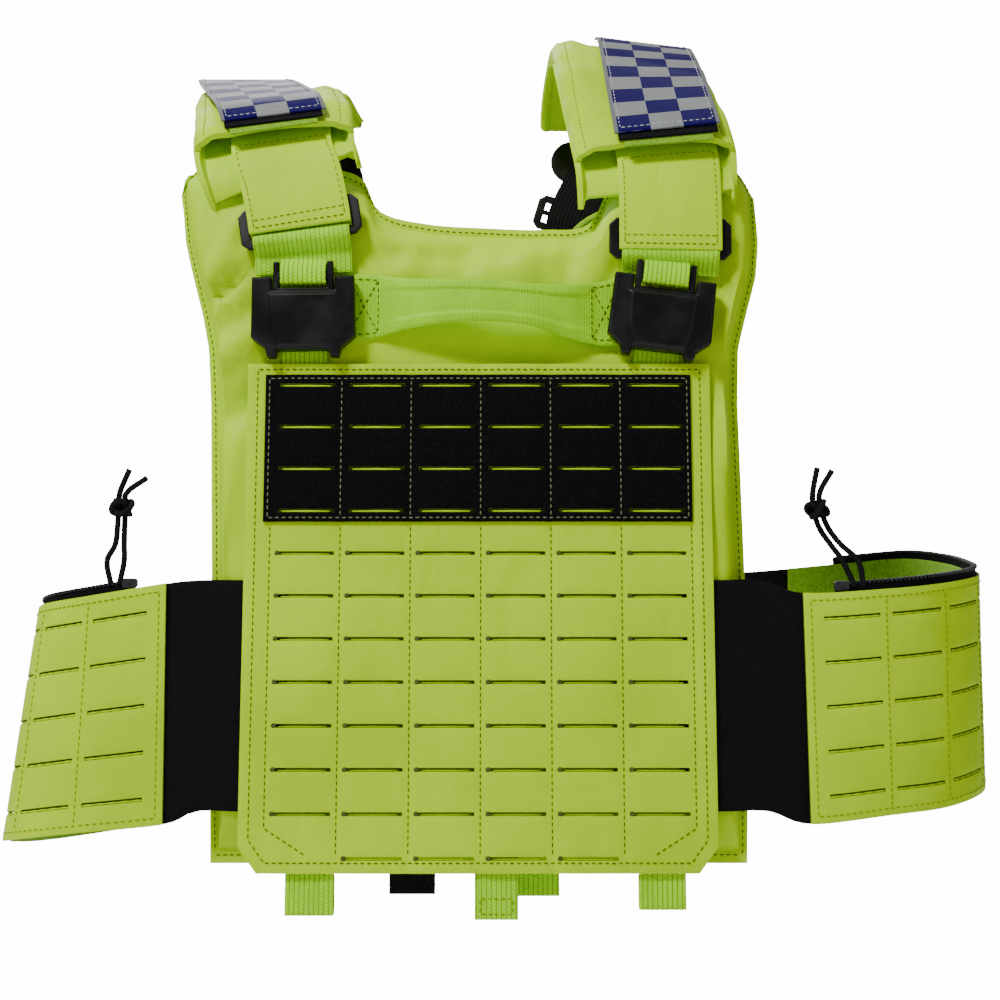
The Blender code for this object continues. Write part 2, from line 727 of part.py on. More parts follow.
def patches(side, route):
    """The checked patch on a sleeve with its hook backing and the loop strip under it."""
    first, last = PATCH_STATIONS[side]
    lift = max(row[1] for row in SLEEVE) + 2 * GAP
    layers = (
        ("patch_loop_", material("loop_strip", (0.45, 0.70, 0.05), 0.9), 0.6, 50),
        ("patch_hook_", black_cloth("hook_backing"), 0.3, PATCH_WIDE - 4),
        ("check_patch_", material("check_film", (0.25, 0.25, 0.45), 0.15), 0.0, PATCH_WIDE),
    )
    for label, finish, ahead, wide in layers:
        ends = (first - ahead, last)
        ribbon(label + side, route, *ends, wide, lift + PATCH_WALL / 2, PATCH_WALL, finish, PATCH_ASIDE[side])
        lift += PATCH_WALL + GAP


def route_matrix(route, station, lift, aside=0.0):
    """A plane on a strap, its X across the strap and its Y along it."""
    middle, across, out = route.frame(station * STEP)
    along = out.cross(across)
    turn = Matrix((across, along, out)).transposed().to_4x4()
    return Matrix.Translation(middle + out * lift + across * aside) @ turn


def slider(name, route, station, lift):
    """A three-bar slider that lies across a strap."""
    slot_s = SLIDER_BAR / 2 + SLIDER_SLOT_TALL / 2
    slots = [box_outline(SLIDER_SLOT_WIDE, SLIDER_SLOT_TALL, 0, (0, s)) for s in (-slot_s, slot_s)]
    outline = box_outline(SLIDER_WIDE, SLIDER_TALL, SLIDER_CUT)
    matrix = route_matrix(route, station, lift)
    plate(name, outline, SLIDER_WALL, black_plastic("slider_plastic"), matrix, None, slots, 0.5)


def rear_ring(route):
    """A round plastic keeper with a sunk middle on the inner edge of the right rear strap."""
    profile = (
        (0, RING_WALL / 2 - RING_RECESS),
        (RING_DISC_RADIUS - RING_DISC_CUT, RING_WALL / 2 - RING_RECESS),
        (RING_DISC_RADIUS, RING_WALL / 2),
        (RING_RADIUS - RING_RIM_CUT, RING_WALL / 2),
        (RING_RADIUS, RING_WALL / 2 - RING_RIM_CUT),
        (RING_RADIUS, -RING_WALL / 2),
        (0, -RING_WALL / 2),
    )
    lift = WEBBING_WALL / 2 + 2 * GAP + RING_WALL / 2
    matrix = route_matrix(route, RING_STATION, lift, -REAR_WEBBING_WIDE / 2)
    turned("rear_ring", profile, 20, black_plastic("rear_ring"), matrix)


def turned(name, profile, steps, finish, matrix, closed=False):
    """A profile of radius and height turned about its own Z, then put where matrix says."""
    mesh = bpy.data.meshes.new(name)
    edges = [(k, k + 1) for k in range(len(profile) - 1)]
    if closed:
        edges.append((len(profile) - 1, 0))
    mesh.from_pydata([metres((radius, 0, height)) for radius, height in profile], edges, [])
    piece = add(name, mesh, finish)
    piece.location = matrix.to_translation() * MM
    piece.rotation_euler = matrix.to_euler()
    screw = piece.modifiers.new("turn", "SCREW")
    screw.steps = screw.render_steps = steps
    screw.use_merge_vertices = True
    screw.merge_threshold = 0.00001
    screw.use_smooth_shade = False
    return piece


def side_band(side, ring, first_row, last_row):
    """One half of the cummerbund: elastics, pierced outer panel, lining and zip tape."""
    start, end = ring.row_length(first_row), ring.row_length(last_row)
    lines, slots = [0.0], []
    for k in range(BAND_COLUMNS):
        first = BAND_FIRST_SLOT + k * COLUMN
        slots += [len(lines), len(lines) + 1]
        lines += [first, first + SLOT_LONG / 2, first + SLOT_LONG]
    plain = end - start - BAND_FIRST_SLOT - lines[-1]
    count = round(plain / BAND_PLAIN_STEP)
    lines += [lines[-1] + plain * (k + 1) / count for k in range(count)] + [end - start]
    shares, slot_rows = ladder_lines(BAND_LOW_SHARE, BAND_ROW_SHARE, BAND_ROWS, BAND_SLOT_SHARE)
    stations = [start + line for line in lines]

    def band(name, reach, rows, out, wall, finish, holes=(), over=(0, 0)):
        """A layer of the band over its stations, its outer face at out."""
        order = reach if ring.side > 0 else reach[::-1]

        def place(i, j):
            edge = over[0] if j == 0 else over[1] if j == len(rows) - 1 else 0
            return ring.at(order[i], rows[j], out, edge)

        if ring.side < 0:
            holes = {(len(reach) - 2 - i, j) for i, j in holes}
        sheet(name, len(reach) - 1, len(rows) - 1, place, wall, finish, None, holes)

    panel_out = ELASTIC_WALL / 2 + BAND_GAP + PANEL_WALL
    liner_out = -ELASTIC_WALL / 2 - BAND_GAP
    thirds = (0, 1 / 3, 2 / 3, 1)
    holes = {(i, j) for i in slots for j in slot_rows}
    name = "side_panel_" + side
    band(name, stations, shares, panel_out, PANEL_WALL, yellow_cloth(name), holes)
    name = "side_lining_" + side
    velour = material(name, (0.30, 0.52, 0.05), 0.95)
    band(name, stations, thirds, liner_out, LINER_WALL, velour)
    name = "zip_tape_" + side
    reach = (-TAPE_UNDER, TAPE_OVER)
    band(name, stations[2:-2], (1, 1.0001), TAPE_WALL / 2, TAPE_WALL, black_cloth(name), (), reach)
    name = "front_elastic_" + side
    under = len(RING_UNDER)
    front = [*(ring.row_length(k) for k in range(under)), *stations[:2]]
    band(name, front, thirds, ELASTIC_WALL / 2, ELASTIC_WALL, black_cloth(name))
    name = "back_elastic_" + side
    back = [*stations[-2:], *(ring.row_length(last_row + 1 + k) for k in range(under))]
    band(name, back, thirds, ELASTIC_WALL / 2, ELASTIC_WALL, black_cloth(name))
    zip_pull(side, ring, start)


def zip_pull(side, ring, start):
    """The zip's puller above the front end of the tape, with its knotted pair of cords."""
    foot = ring.at(start + BAND_FIRST_SLOT + SLOT_LONG / 2 - PULLER_LONG / 2 - 2 * GAP, 1, 0)
    outline = box_outline(PULLER_LONG, PULLER_TALL, 1.0)
    upright = Euler((math.radians(90), 0, 0)).to_matrix().to_4x4()
    centre = foot + Vector((0, 0, PULLER_TALL / 2 + GAP * 3))
    place = Matrix.Translation(centre) @ upright
    plate("zip_puller_" + side, outline, PULLER_WIDE, black_plastic("zip_puller"), place)
    rows = LEFT_CORD if side == "left" else RIGHT_CORD
    tails = CORD_TAILS[side]
    top = foot.z + PULLER_TALL + GAP * 4
    drop = top - rows[0][1]
    for k, label in enumerate(("inner", "outer")):
        hand = (-1, 1)[k]
        line = [(x + hand * apart, foot.y, z) for x, z, apart in rows]
        line[0] = (line[0][0], foot.y, rows[0][1] + drop)
        line.append((tails[2 * k], foot.y, tails[2 * k + 1]))
        cord("zip_cord_" + label + "_" + side, line)
    x, z, _ = rows[KNOT_ROW]
    before, after = rows[KNOT_ROW - 1], rows[KNOT_ROW + 1]
    run = Vector((after[0] - before[0], 0, after[1] - before[1]))
    tip = Matrix.Translation((x, foot.y, z)) @ run.to_track_quat("Z", "Y").to_matrix().to_4x4()
    corners = [math.radians(-60 * k) for k in range(6)]
    profile = [(KNOT_RADIUS + KNOT_HALF_WALL * math.cos(a), KNOT_HALF_TALL * math.sin(a)) for a in corners]
    turned("zip_knot_" + side, profile, 10, black_cloth("cord_black"), tip, True)


def cord(name, line):
    """A round cord through the rows of a line."""
    route = Route([(*point, 0) for point in line])
    curve = bpy.data.curves.new(name, "CURVE")
    curve.dimensions = "3D"
    curve.bevel_depth = CORD / 2 * MM
    curve.bevel_resolution = 2
    curve.use_fill_caps = True
    spline = curve.splines.new("POLY")
    spline.points.add(CORD_POINTS - 1)
    for k, point in enumerate(spline.points):
        point.co = (*metres(route.row(route.length * k / (CORD_POINTS - 1))[:3]), 1)
    piece = bpy.data.objects.new(name, curve)
    curve.materials.append(black_cloth("cord_black"))
    bpy.data.collections["tactical_vest"].objects.link(piece)


def bottom_pieces(parent):
    """Webbing loops, the centre strap and the pocket tabs at the bottom edge."""
    front = FLAP_OUT - FLAP_WALL - GAP
    for name, (x, wide, low) in BOTTOM_LOOPS.items():
        hanging_loop(name, parent, x, wide, low, front)
    x, wide, low = CENTRE_STRAP
    path = [(low, front - 1.0), (CENTRE_STRAP_FREE, front), (STRAP_TOP, front)]
    flat_strip("centre_strap", parent, wide, path, yellow_webbing("centre_strap"), x)
    behind = LINING_OUT - LINING_WALL - GAP
    for name, (x, wide, low), finish in (
        ("pocket_tab_black", BLACK_TAB, black_cloth("pocket_tab")),
        ("pocket_tab_yellow", YELLOW_TAB, yellow_cloth("pocket_tab_yellow")),
    ):
        flat_strip(name, parent, wide, [(low, behind), (TAB_TOP, behind)], finish, x)


def hanging_loop(name, parent, x, wide, low, front):
    """A loop of webbing that hangs from behind the flap, seen edge on as a narrow U."""
    foot, rear = low + LOOP_BEND_RISE, front - LOOP_DEEP
    path = [(LOOP_REAR_TOP, rear), (foot, rear)]
    for angle in (135, 90, 45):
        turn = math.radians(angle)
        out = rear + LOOP_DEEP / 2 * (1 + math.cos(turn))
        path.append((foot - LOOP_BEND_TALL * math.sin(turn), out))
    path += [(foot, front), (STRAP_TOP, front)]
    flat_strip(name, parent, wide, path, yellow_webbing(name), x)


def under_front(x):
    (high, low), out = FRONT_BAND_S, FACE_OUT + GAP + ELASTIC_WALL / 2
    return (*front_at(x, high, out), *front_at(x, low, out))


def under_back(x):
    (high, low), out = BACK_BAND_S, FACE_OUT + GAP + ELASTIC_WALL / 2
    return (*back_at(x, high, out), *back_at(x, low, out))


def build():
    clear_scene()
    for name in ("tactical_vest", "cutters"):
        if name not in bpy.data.collections:
            bpy.context.scene.collection.children.link(bpy.data.collections.new(name))
    parents = {}
    for name, place, lean, roll in (
        ("front_panel", FRONT_PLACE, FRONT_LEAN, 0),
        ("back_panel", BACK_PLACE, BACK_LEAN, BACK_ROLL),
    ):
        empty = bpy.data.objects.new(name, None)
        bpy.data.collections["tactical_vest"].objects.link(empty)
        empty.location = metres(place)
        empty.rotation_euler = (math.radians(lean), math.radians(roll), 0)
        parents[name] = empty
    front, back = parents["front_panel"], parents["back_panel"]
    bag_face("front_face", front, -1, True)
    bag_lining("front_lining", front, -1)
    bag_face("back_face", back, 1, False)
    bag_lining("back_lining", back, 1)
    front_flap(front)
    loop_field(front)
    back_flap(back)
    grab_handle(front)
    for side in BUCKLES:
        buckle(side, front)
    for side, hand, table in (("left", -1, LEFT_RING), ("right", 1, RIGHT_RING)):
        before = [under_front(hand * x) for x in RING_UNDER]
        after = [under_back(hand * x) for x in reversed(RING_UNDER)]
        side_band(side, Ring((*before, *table, *after), hand), len(before), len(before) + len(table) - 1)
    for side, table in (("left", LEFT_ROUTE), ("right", RIGHT_ROUTE)):
        ends = [(*back_at(BACK_STRAP_X[side], s, out), -BACK_ROLL) for s, out in BACK_STRAP_ENDS]
        route = Route((*table, *ends))
        shoulder(side, route)
        if side == "right":
            rear_ring(route)
    bottom_pieces(front)


build()
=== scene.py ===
"""A high-visibility tactical vest: cloth, webbing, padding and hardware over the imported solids."""

import math

import bmesh
import bpy
import numpy as np
from mathutils import Euler, Matrix, Vector


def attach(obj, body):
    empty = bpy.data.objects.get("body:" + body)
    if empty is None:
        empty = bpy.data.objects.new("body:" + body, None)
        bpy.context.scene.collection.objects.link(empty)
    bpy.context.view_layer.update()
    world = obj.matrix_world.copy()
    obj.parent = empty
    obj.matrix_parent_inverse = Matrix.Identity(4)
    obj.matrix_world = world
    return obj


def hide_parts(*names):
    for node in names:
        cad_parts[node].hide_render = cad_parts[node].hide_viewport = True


bl_info = {
    "name": "Tactical Vest",
    "version": (1, 0, 0),
    "blender": (4, 5, 0),
    "location": "View3D > Sidebar > Vest",
    "description": "Builds a high-visibility tactical vest piece by piece",
    "category": "Object",
}

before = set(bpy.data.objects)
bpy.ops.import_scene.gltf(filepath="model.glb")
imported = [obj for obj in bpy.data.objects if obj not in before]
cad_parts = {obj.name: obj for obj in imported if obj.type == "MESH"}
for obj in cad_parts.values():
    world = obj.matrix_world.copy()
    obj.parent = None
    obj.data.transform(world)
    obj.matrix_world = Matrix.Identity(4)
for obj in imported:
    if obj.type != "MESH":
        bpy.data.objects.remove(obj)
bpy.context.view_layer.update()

MM = 0.001
GAP = 0.3  # millimetres between pieces that lie on each other
STITCH_LIFT = 0.15  # how far a stitch's middle stands off the cloth
BEAD_LOT = 32  # how many beads are made at once
WEAR_AND_SHADE_FROM_TO = 0.38, 0.66  # the noise over which cloth goes from its first colour to its second: random patches, on the coated cloth partly painted shade
CREASE_STRETCH, CREASE_POWER, CREASE_GAIN = (1.0, 1.0, 0.45), 1.4, 4.0
SPECKLE_FROM = 0.56  # the noise above which nap shows its second colour

# Panels of the two bags: where they stand, how they lean, and their layers counted outwards
FRONT_PLACE, FRONT_LEAN = (0, -92, -250), -8
BACK_PLACE, BACK_LEAN, BACK_ROLL = (0, 110, -262), 5, -5
FACE_OUT, FACE_WALL = 8.0, 1.8
LINING_OUT, LINING_WALL = -7.0, 4.0
ELASTIC_WALL, FLAP_WALL, LOOP_FIELD_WALL = 1.8, 2.0, 1.2
FLAP_OUT = FACE_OUT + GAP + ELASTIC_WALL + GAP + FLAP_WALL
LOOP_FIELD_OUT = FLAP_OUT + GAP + LOOP_FIELD_WALL
BAG_BOTTOM = -184
SHOULDER_BEND, BEND_FROM, BEND_TO = 14.0, 130, 211

# Webbing ladder of the flap
COLUMN, ROW = 38.1, 23.1
SLOT_LONG, SLOT_TALL, SLOT_INSET = 31.0, 2.0, 4.0
# Where a slot's lower lip shows, as a share of the slot's height, and the lip's half width and half thickness
LIP_SHARE, LIP_WIDE, LIP_THICK = 0.3, 0.62, 0.5
LIP_LONG, LIP_OVERLAP = 0.49, 0.62  # a lip's half length in one piece and in several, as a share of its step
COLUMNS, ROWS, LOOP_ROWS = 6, 12, 4
FIRST_COLUMN, FIRST_ROW = -115.4, 73.8
FLAP_LEFT, FLAP_RIGHT, FLAP_TOP, FLAP_BOTTOM = -129.0, 124.5, 86.0, -188.0
BACK_FLAP_BOTTOM = -176.0
CHAMFER_WIDE, CHAMFER_TALL = 10.0, 14.0
FLAP_SLACK, FLAP_PILLOW = 0.36, 0.28  # how far the flap stands off, and the loop field's cloth with it
SEAM_PULL, SEAM_PULL_WIDE = 0.56, 2.5  # how far its seams pull it in
LOOP_LEFT, LOOP_RIGHT, LOOP_TOP, LOOP_BOTTOM = -119.0, 113.8, 79.7, -1.6

# Side bands
PANEL_WALL, LINER_WALL, TAPE_WALL = 1.6, 1.6, 1.4
BAND_COLUMNS, BAND_ROWS, BAND_TALL, ELASTIC_TALL = 5, 5, 124, 122
BAND_FIRST_SLOT, BAND_ROW_SHARE, BAND_LOW_SHARE, BAND_SLOT_SHARE = 10.9, 0.193, 0.115, 0.016
BAND_GAP, TAPE_UNDER, TAPE_OVER = 0.5, 9.0, 5.0
# A zip's tooth along the tape, across it and upwards, its rounded edge, its sunk foot and the row's plain ends
TOOTH, TOOTH_EDGE, TOOTH_SUNK, ROW_END = (1.5, 3.2, 1.8), 0.35, 0.4, 2

# Straps, pads and hardware
STEP = 15.0
STRAP_WIDE, STRAP_WALL = 57.0, 2.6
WEBBING_WIDE, WEBBING_WALL = 54.0, 1.8
REAR_WEBBING_WIDE, NARROW_WIDE = 50.0, 25.0
PAD_WALL = 3.5
PATCH_WIDE, PATCH_WALL = 60.0, 1.2
SLIDER_WALL = 2.6
CORD = 3.2
PLUG_WALL, SOCKET_WALL = 4.6, 9.0
PULLER_LONG, PULLER_TALL = 8.0, 5.0

# Outline of each bag: height s on the panel, then its left and right edges
BAG_SIDES = (
    (-184, -146, 142),
    (-150, -147, 143),
    (-33, -149, 144),
    (67, -152, 142),
    (98, -154, 143),
    (118, -158, 148),
    (140, -164, 154),
    (160, -169, 156),
    (190, -173, 155),
    (200, -171, 151),
    (214, -162, 145),
)
# Top of each bag, from the left ear over the neck to the right ear: x, s
BAG_TOP = (
    (-172.5, 192),
    (-167, 206),
    (-157, 211),
    (-130, 211.5),
    (-95, 209),
    (-71, 202),
    (-59, 180),
    (-32, 172),
    (0, 169.5),
    (34, 168.5),
    (60, 172),
    (76, 200),
    (105, 212),
    (135, 214),
    (147, 205),
    (154.6, 188),
)
BAG_ROWS = (0, 0.018, 0.06, 0.16, 0.28, 0.40, 0.52, 0.64, 0.74, 0.83, 0.90, 0.95, 0.985, 1)
BAG_RIM_SHARE, RIM_RINGS = 0.015, 3  # the least share of the width from one column to the next, and for how many
BAG_EDGE = (-3.7, -3.7, 6.6, 8.0)  # how far the face stands out, from the rim inwards
BAG_SEAM = 0.62  # how many of the tables' columns and rows the seam lies in from the rim
RIM_ROLL, RIM_DENT, RIM_DENT_WIDE = 0.9, 0.5, 0.12  # the puffed rim and the dent at its inner edge
RIPPLE, FOLD_DEPTH = 0.35, 2.4
LINING_TUCK, LINING_QUILT, QUILT_STEP = 1.5, 0.15, 14
FINER = 6  # columns and rows of the cloth for each one of the tables
# Folds of the front face: x, s, angle in degrees, half length, half width, height
FOLDS = (
    (-138, 96, 38, 40, 7, 3.0),
    (-134, 62, 34, 34, 7, -3.0),
    (-118, 128, 52, 26, 8, -2.5),
    (132, 44, 86, 46, 6, 3.0),
    (-20, 152, 4, 50, 8, -2.0),
    (60, 108, -28, 30, 8, -2.0),
    (-140, 10, 84, 60, 3.5, 1.4),
    (-137, -60, 92, 50, 3.0, -1.2),
    (-146, 150, 62, 34, 4.0, 1.6),
    (-128, 166, 40, 22, 4.0, -1.4),
    (136, 110, 70, 30, 4.0, 1.5),
    (128, 150, 110, 26, 4.0, -1.5),
    (24, 160, -6, 30, 4.5, 1.2),
    (137, -40, 88, 60, 3.0, -1.2),
    (-10, 94, 0, 60, 3.0, -0.8),
    (-141, 131, 45, 24, 4.5, -3.0),
    (-150, 116, 40, 16, 4.0, 2.0),
    (-10, 149, 85, 12, 6, -1.8),
    (24, 148, 95, 12, 7, 1.6),
    (48, 146, 80, 14, 6, -1.6),
    (-38, 150, 70, 14, 7, 1.5),
    (75, 140, 60, 18, 7, -1.8),
    (134, 84, 100, 26, 5, -2.4),
)

# Side bands from the front elastic to the back elastic: top x, y, z and bottom x, y, z
RIGHT_RING = (
    (172, -109, -288, 174, -122, -410),
    (217, -106, -286, 219, -112, -407),
    (252, -92, -283.5, 254, -96, -405.5),
    (279, -62, -281, 281, -65, -403),
    (287, -20, -279, 290, -22, -401),
    (286, 20, -277, 289, 20, -399),
    (273, 62, -276, 275, 64, -399),
    (245, 95, -280, 247, 98, -403),
    (206, 114, -285, 208, 121, -407),
)
LEFT_RING = (
    (-170, -108, -283, -169, -123, -410),
    (-212, -106, -290, -218, -117, -416),
    (-241, -86, -296, -258, -93, -425),
    (-252, -50, -303, -271, -54, -434),
    (-255, -5, -310, -273, -6, -444),
    (-248, 45, -318, -263, 45, -452),
    (-228, 86, -322, -236, 89, -455),
    (-191, 112, -322, -195, 119, -450),
)
FRONT_BAND_S, BACK_BAND_S = (-33, -156), (-42, -160)
RING_UNDER = (105, 129, 152)

# Shoulder routes, from the front buckle over the shoulder to the back: x, y, z, bank in degrees
LEFT_ROUTE = (
    (-99, -91, -125, 4),
    (-101, -85.4, -90, 6),
    (-107, -76.5, -60, 6),
    (-114, -66, -40, 6),
    (-118, -42, -20, 6),
    (-124, -8, -5, 4),
    (-130, 28, 9, 2),
    (-134, 62, 20, 0),
    (-132, 90, 22, 1),
    (-122, 110, 4, 2),
    (-108, 116, -26, 4),
)
RIGHT_ROUTE = (
    (103, -91, -138, 1),
    (104, -86.4, -100, 1),
    (104.5, -76.5, -62, 4),
    (104, -64, -41, 6),
    (101, -39, -17, 2),
    (98, -10, 7, -3),
    (96, 20, 27, -6),
    (95, 50, 41, -7),
    (93, 76, 42, -5),
    (90, 100, 25, -2),
    (87, 113, -5, 2),
)
BACK_STRAP_ENDS = ((204, 13.0), (176, 9.5), (132, 9.5))
BACK_STRAP_X = {"left": -98, "right": 84}
# Sleeve clockwise seen from its mouth: across the strap, lift above the strap's middle
SLEEVE = (
    (-46, 1),
    (-41, 6.5),
    (-25, 8.5),
    (0, 9),
    (25, 8.5),
    (41, 6.5),
    (46, 1),
    (43, -5.1),
    (38, -6.6),
    (-38, -6.6),
    (-43, -5.1),
)
SLEEVE_TOP_COLUMNS, SLEEVE_HALF = 6, 46.0
# How far the sleeve's cloth creases, puffs up, dents at its seams and flares at its mouth
SLEEVE_SLACK, SLEEVE_PUFF, SLEEVE_DENT, MOUTH_FLARE = 1.5, 1.8, 1.0, 3.5
SEAM_COLUMN, SEAM_ASIDE = 7, 40.0  # the sleeve's seams: fine columns in from its edge, and millimetres aside
MOUTH_DROOP, DROOP_LONG = 7.0, 30.0  # how far the sides of its mouth hang forward, and how far that reaches
SLEEVE_STATIONS = {"left": (5, 7, 20), "right": (5, 7, 21)}
STRAP_STATIONS = {"left": (2.6, 19), "right": (2.6, 20)}
WEBBING_STATIONS = {"left": (0.9, 3.6), "right": (1.7, 3.9)}
SLIDER_STATIONS = {"left": (2.9, 23.6), "right": (3.1, 25.6)}
# A slider's lower bar from its middle, and how high and far along the webbing rises over it
SLIDER_BAR_AT, BAR_RISE, BAR_SPREAD = 9.8, 5.7, 5.4
PATCH_STATIONS = {"left": (7.1, 17.0), "right": (7.1, 17.0)}
SLEEVE_ASIDE = {"left": -4, "right": -7}
PATCH_ASIDE = {"left": (-2, -24), "right": (1, 4)}

# Buckles: middle x, s and turn in degrees
BUCKLES = {"left": (-98.8, 114, 1), "right": (98.5, 113.5, -7)}
BAR_FOOT = 16.2
SHIELD_OUTLINE = ((-15, -20.4), (15, -20.4), (18.5, -9), (20, 11), (-20, 11), (-18.5, -9))
SHIELD_TALL, SHIELD_SLOPE, SHIELD_DROP = 1.6, 0.12, 0.4

# Zip pull cords from the puller to the knot: x, z, how far each strand runs from the middle
LEFT_CORD = (
    (-198.3, -278, 2.4),
    (-198, -271, 4.6),
    (-195.8, -262, 2.4),
    (-195, -252, 1.9),
    (-194.5, -242, 1.9),
    (-193.8, -234, 1.9),
)
RIGHT_CORD = (
    (203, -278, 2.4),
    (198.5, -271, 4.2),
    (190.5, -262, 2.8),
    (184, -253, 2.4),
    (180.5, -243, 2.0),
    (180, -234, 1.9),
)
KNOT_ROW, KNOT_POINTS = 4, 90
KNOT_WIDE, KNOT_WAVE, KNOT_RISE = 4.6, 1.1, 3.6
CORD_TAILS = {"left": (-190.5, -221.5, -181, -226), "right": (180.5, -220.5, 188.5, -222)}
CORD_POINTS = 11
CORD_SEAT = 3.0  # how far the cords run down into the puller

# Pieces at the bottom edge: middle x, width, lowest s
BOTTOM_LOOPS = {"bottom_loop_left": (-91, 26, -210.5), "bottom_loop_right": (95, 25, -207.5)}
CENTRE_STRAP = (7.5, 23, -212)
BLACK_TAB, YELLOW_TAB = (-38, 25, -201), (30, 23, -202)
STRAP_TOP, LOOP_BACK_TOP, TAB_TOP, CENTRE_KNEE = -166, -189, -160, -190
LOOP_FOLD, LOOP_FOLD_TALL, LOOP_FOOT = 2.3, 3.2, 4  # a loop's fold: half its depth, its height, and its start
HANDLE_WIDE, HANDLE_CROWN = 36.0, 2.5
# The edges folded over the handle: their share of its width, how high they lie and how sharply they end
HANDLE_FOLD, HANDLE_FOLD_RISE, HANDLE_FOLD_END = 0.22, 1.3, 0.012
EDGE_ROUND = 1.6  # how far in from its edge webbing is rounded down
# Carrying handle: x, lower s, upper s, how far it stands out
HANDLE = (
    (-76, 99, 138, 0),
    (-60, 101, 137, 0),
    (-40, 105, 133.5, 5),
    (-18, 107, 131.5, 11),
    (5, 107, 130, 13),
    (26, 105, 129, 11),
    (46, 100, 130, 5),
    (64, 97, 133, 0),
    (77, 97, 136, 0),
)


def colour_property(name, description, default):
    return bpy.props.FloatVectorProperty(
        name=name, description=description, subtype="COLOR", size=3, min=0, max=1, default=default,
    )


def length_property(name, description, default):
    return bpy.props.FloatProperty(
        name=name, description=description, subtype="DISTANCE", unit="LENGTH", default=default,
    )


class VestColours(bpy.types.PropertyGroup):
    """Colours of the vest's cloths."""

    laminate: colour_property("Laminate", "Coated cloth of the bags and flaps", (0.57, 0.89, 0.0))
    # The shade colour gives the coated cloth darker patches at random, meant partly as painted shade of its folds
    laminate_tone_and_shade: colour_property("Laminate shade", "Coated cloth where it has been handled", (0.46, 0.74, 0.0))
    webbing: colour_property("Webbing", "Ribbed straps and loops", (0.43, 0.95, 0.0))
    velour: colour_property("Velour", "Napped lining", (0.23, 0.47, 0.01))
    black: colour_property("Black", "Elastic, loop field and tape", (0.0025, 0.0025, 0.003))
    plastic: colour_property("Plastic", "Buckles and sliders", (0.003, 0.003, 0.0035))
    navy: colour_property("Dark checks", "Dark squares of the patches", (0.006, 0.0, 0.085))
    silver: colour_property("Light checks", "Light squares of the patches", (0.27, 0.29, 0.28))


class VestSizes(bpy.types.PropertyGroup):
    """Fine sizes of the cloth work."""

    stitch: length_property("Stitch", "Length of one stitch", 0.0027)
    stitch_step: length_property("Stitch step", "From one stitch to the next", 0.0036)
    thread: length_property("Thread", "Thickness of the thread", 0.00075)
    rib: length_property("Rib", "Width of one rib of the webbing", 0.0026)
    rib_height: length_property("Rib height", "How far a rib stands up", 0.0003)
    tooth_step: length_property("Zip tooth step", "From one zip tooth to the next", 0.0026)
    check: length_property("Check", "Width of a check on the patches", 0.0185)
    check_long: length_property("Check length", "Length of a check along the strap", 0.0148)


def colours():
    return bpy.context.scene.vest_colours


def sizes():
    return bpy.context.scene.vest_sizes


# Places and routes


def metres(point):
    return Vector(point) * MM


def panel_matrix(place, lean, roll=0):
    turn = Euler((math.radians(lean), math.radians(roll), 0)).to_matrix().to_4x4()
    return Matrix.Translation(Vector(place)) @ turn


FRONT_MATRIX = panel_matrix(FRONT_PLACE, FRONT_LEAN)
BACK_MATRIX = panel_matrix(BACK_PLACE, BACK_LEAN, BACK_ROLL)


def front_at(x, s, out):
    return FRONT_MATRIX @ Vector((x, -out, s))


def back_at(x, s, out):
    return BACK_MATRIX @ Vector((x, out, s))


def table_value(table, at, column):
    return float(np.interp(at, [row[0] for row in table], [row[column] for row in table]))


def smooth_line(points, per_piece=16):
    """Many points of a smooth curve through the rows of a table."""
    rows = np.array(points, float)
    rows = np.vstack((2 * rows[0] - rows[1], rows, 2 * rows[-1] - rows[-2]))
    fine = []
    for k in range(1, len(rows) - 2):
        a, b, c, d = rows[k - 1], rows[k], rows[k + 1], rows[k + 2]
        for t in np.linspace(0, 1, per_piece, endpoint=False):
            bend = (2 * a - 5 * b + 4 * c - d) * t**2 + (3 * b - a - 3 * c + d) * t**3
            fine.append(0.5 * (2 * b + (c - a) * t + bend))
    fine.append(rows[-2])
    return np.array(fine)


class Route:
    """A smooth line through a table whose first three columns are a place, read by length."""

    per_piece = 16

    def __init__(self, table):
        self.fine = smooth_line(table, self.per_piece)
        steps = np.linalg.norm(np.diff(self.middle_line(), axis=0), axis=1)
        self.along = np.concatenate(([0], np.cumsum(steps)))
        self.length = float(self.along[-1])

    def middle_line(self):
        return self.fine[:, :3]

    def row_length(self, row):
        return float(self.along[row * self.per_piece])

    def row(self, length):
        return np.array([np.interp(length, self.along, column) for column in self.fine.T])

    def frame(self, length):
        """Middle, across and outward directions of a strap that lies on the route."""
        row = self.row(length)
        ahead, behind = self.row(min(length + 2, self.length)), self.row(max(length - 2, 0))
        run = Vector(ahead[:3] - behind[:3]).normalized()
        bank = math.radians(row[3])
        level = Vector((math.cos(bank), 0, math.sin(bank)))
        across = (level - run * level.dot(run)).normalized()
        return Vector(row[:3]), across, across.cross(run)


class Ring(Route):
    """The run of a side band: a table of its top and bottom edges, read by length and height."""

    def __init__(self, table, side):
        super().__init__(table)
        self.side = side

    def middle_line(self):
        return (self.fine[:, :3] + self.fine[:, 3:]) / 2

    def at(self, length, share, out, over=0.0):
        row = self.row(length)
        ahead, behind = self.row(min(length + 2, self.length)), self.row(max(length - 2, 0))
        run = Vector((ahead[:3] + ahead[3:] - behind[:3] - behind[3:]) / 2).normalized()
        low, high = Vector(row[3:]), Vector(row[:3])
        up = (high - low).normalized()
        return low + (high - low) * share + up * over + run.cross(up).normalized() * out * self.side


def fill_lines(keys, longest):
    """Grid lines through the keys, with no step longer than longest."""
    lines = [keys[0]]
    for a, b in zip(keys, keys[1:]):
        count = max(1, math.ceil((b - a) / longest - 0.01))
        lines += [a + (b - a) * k / count for k in range(1, count + 1)]
    return lines


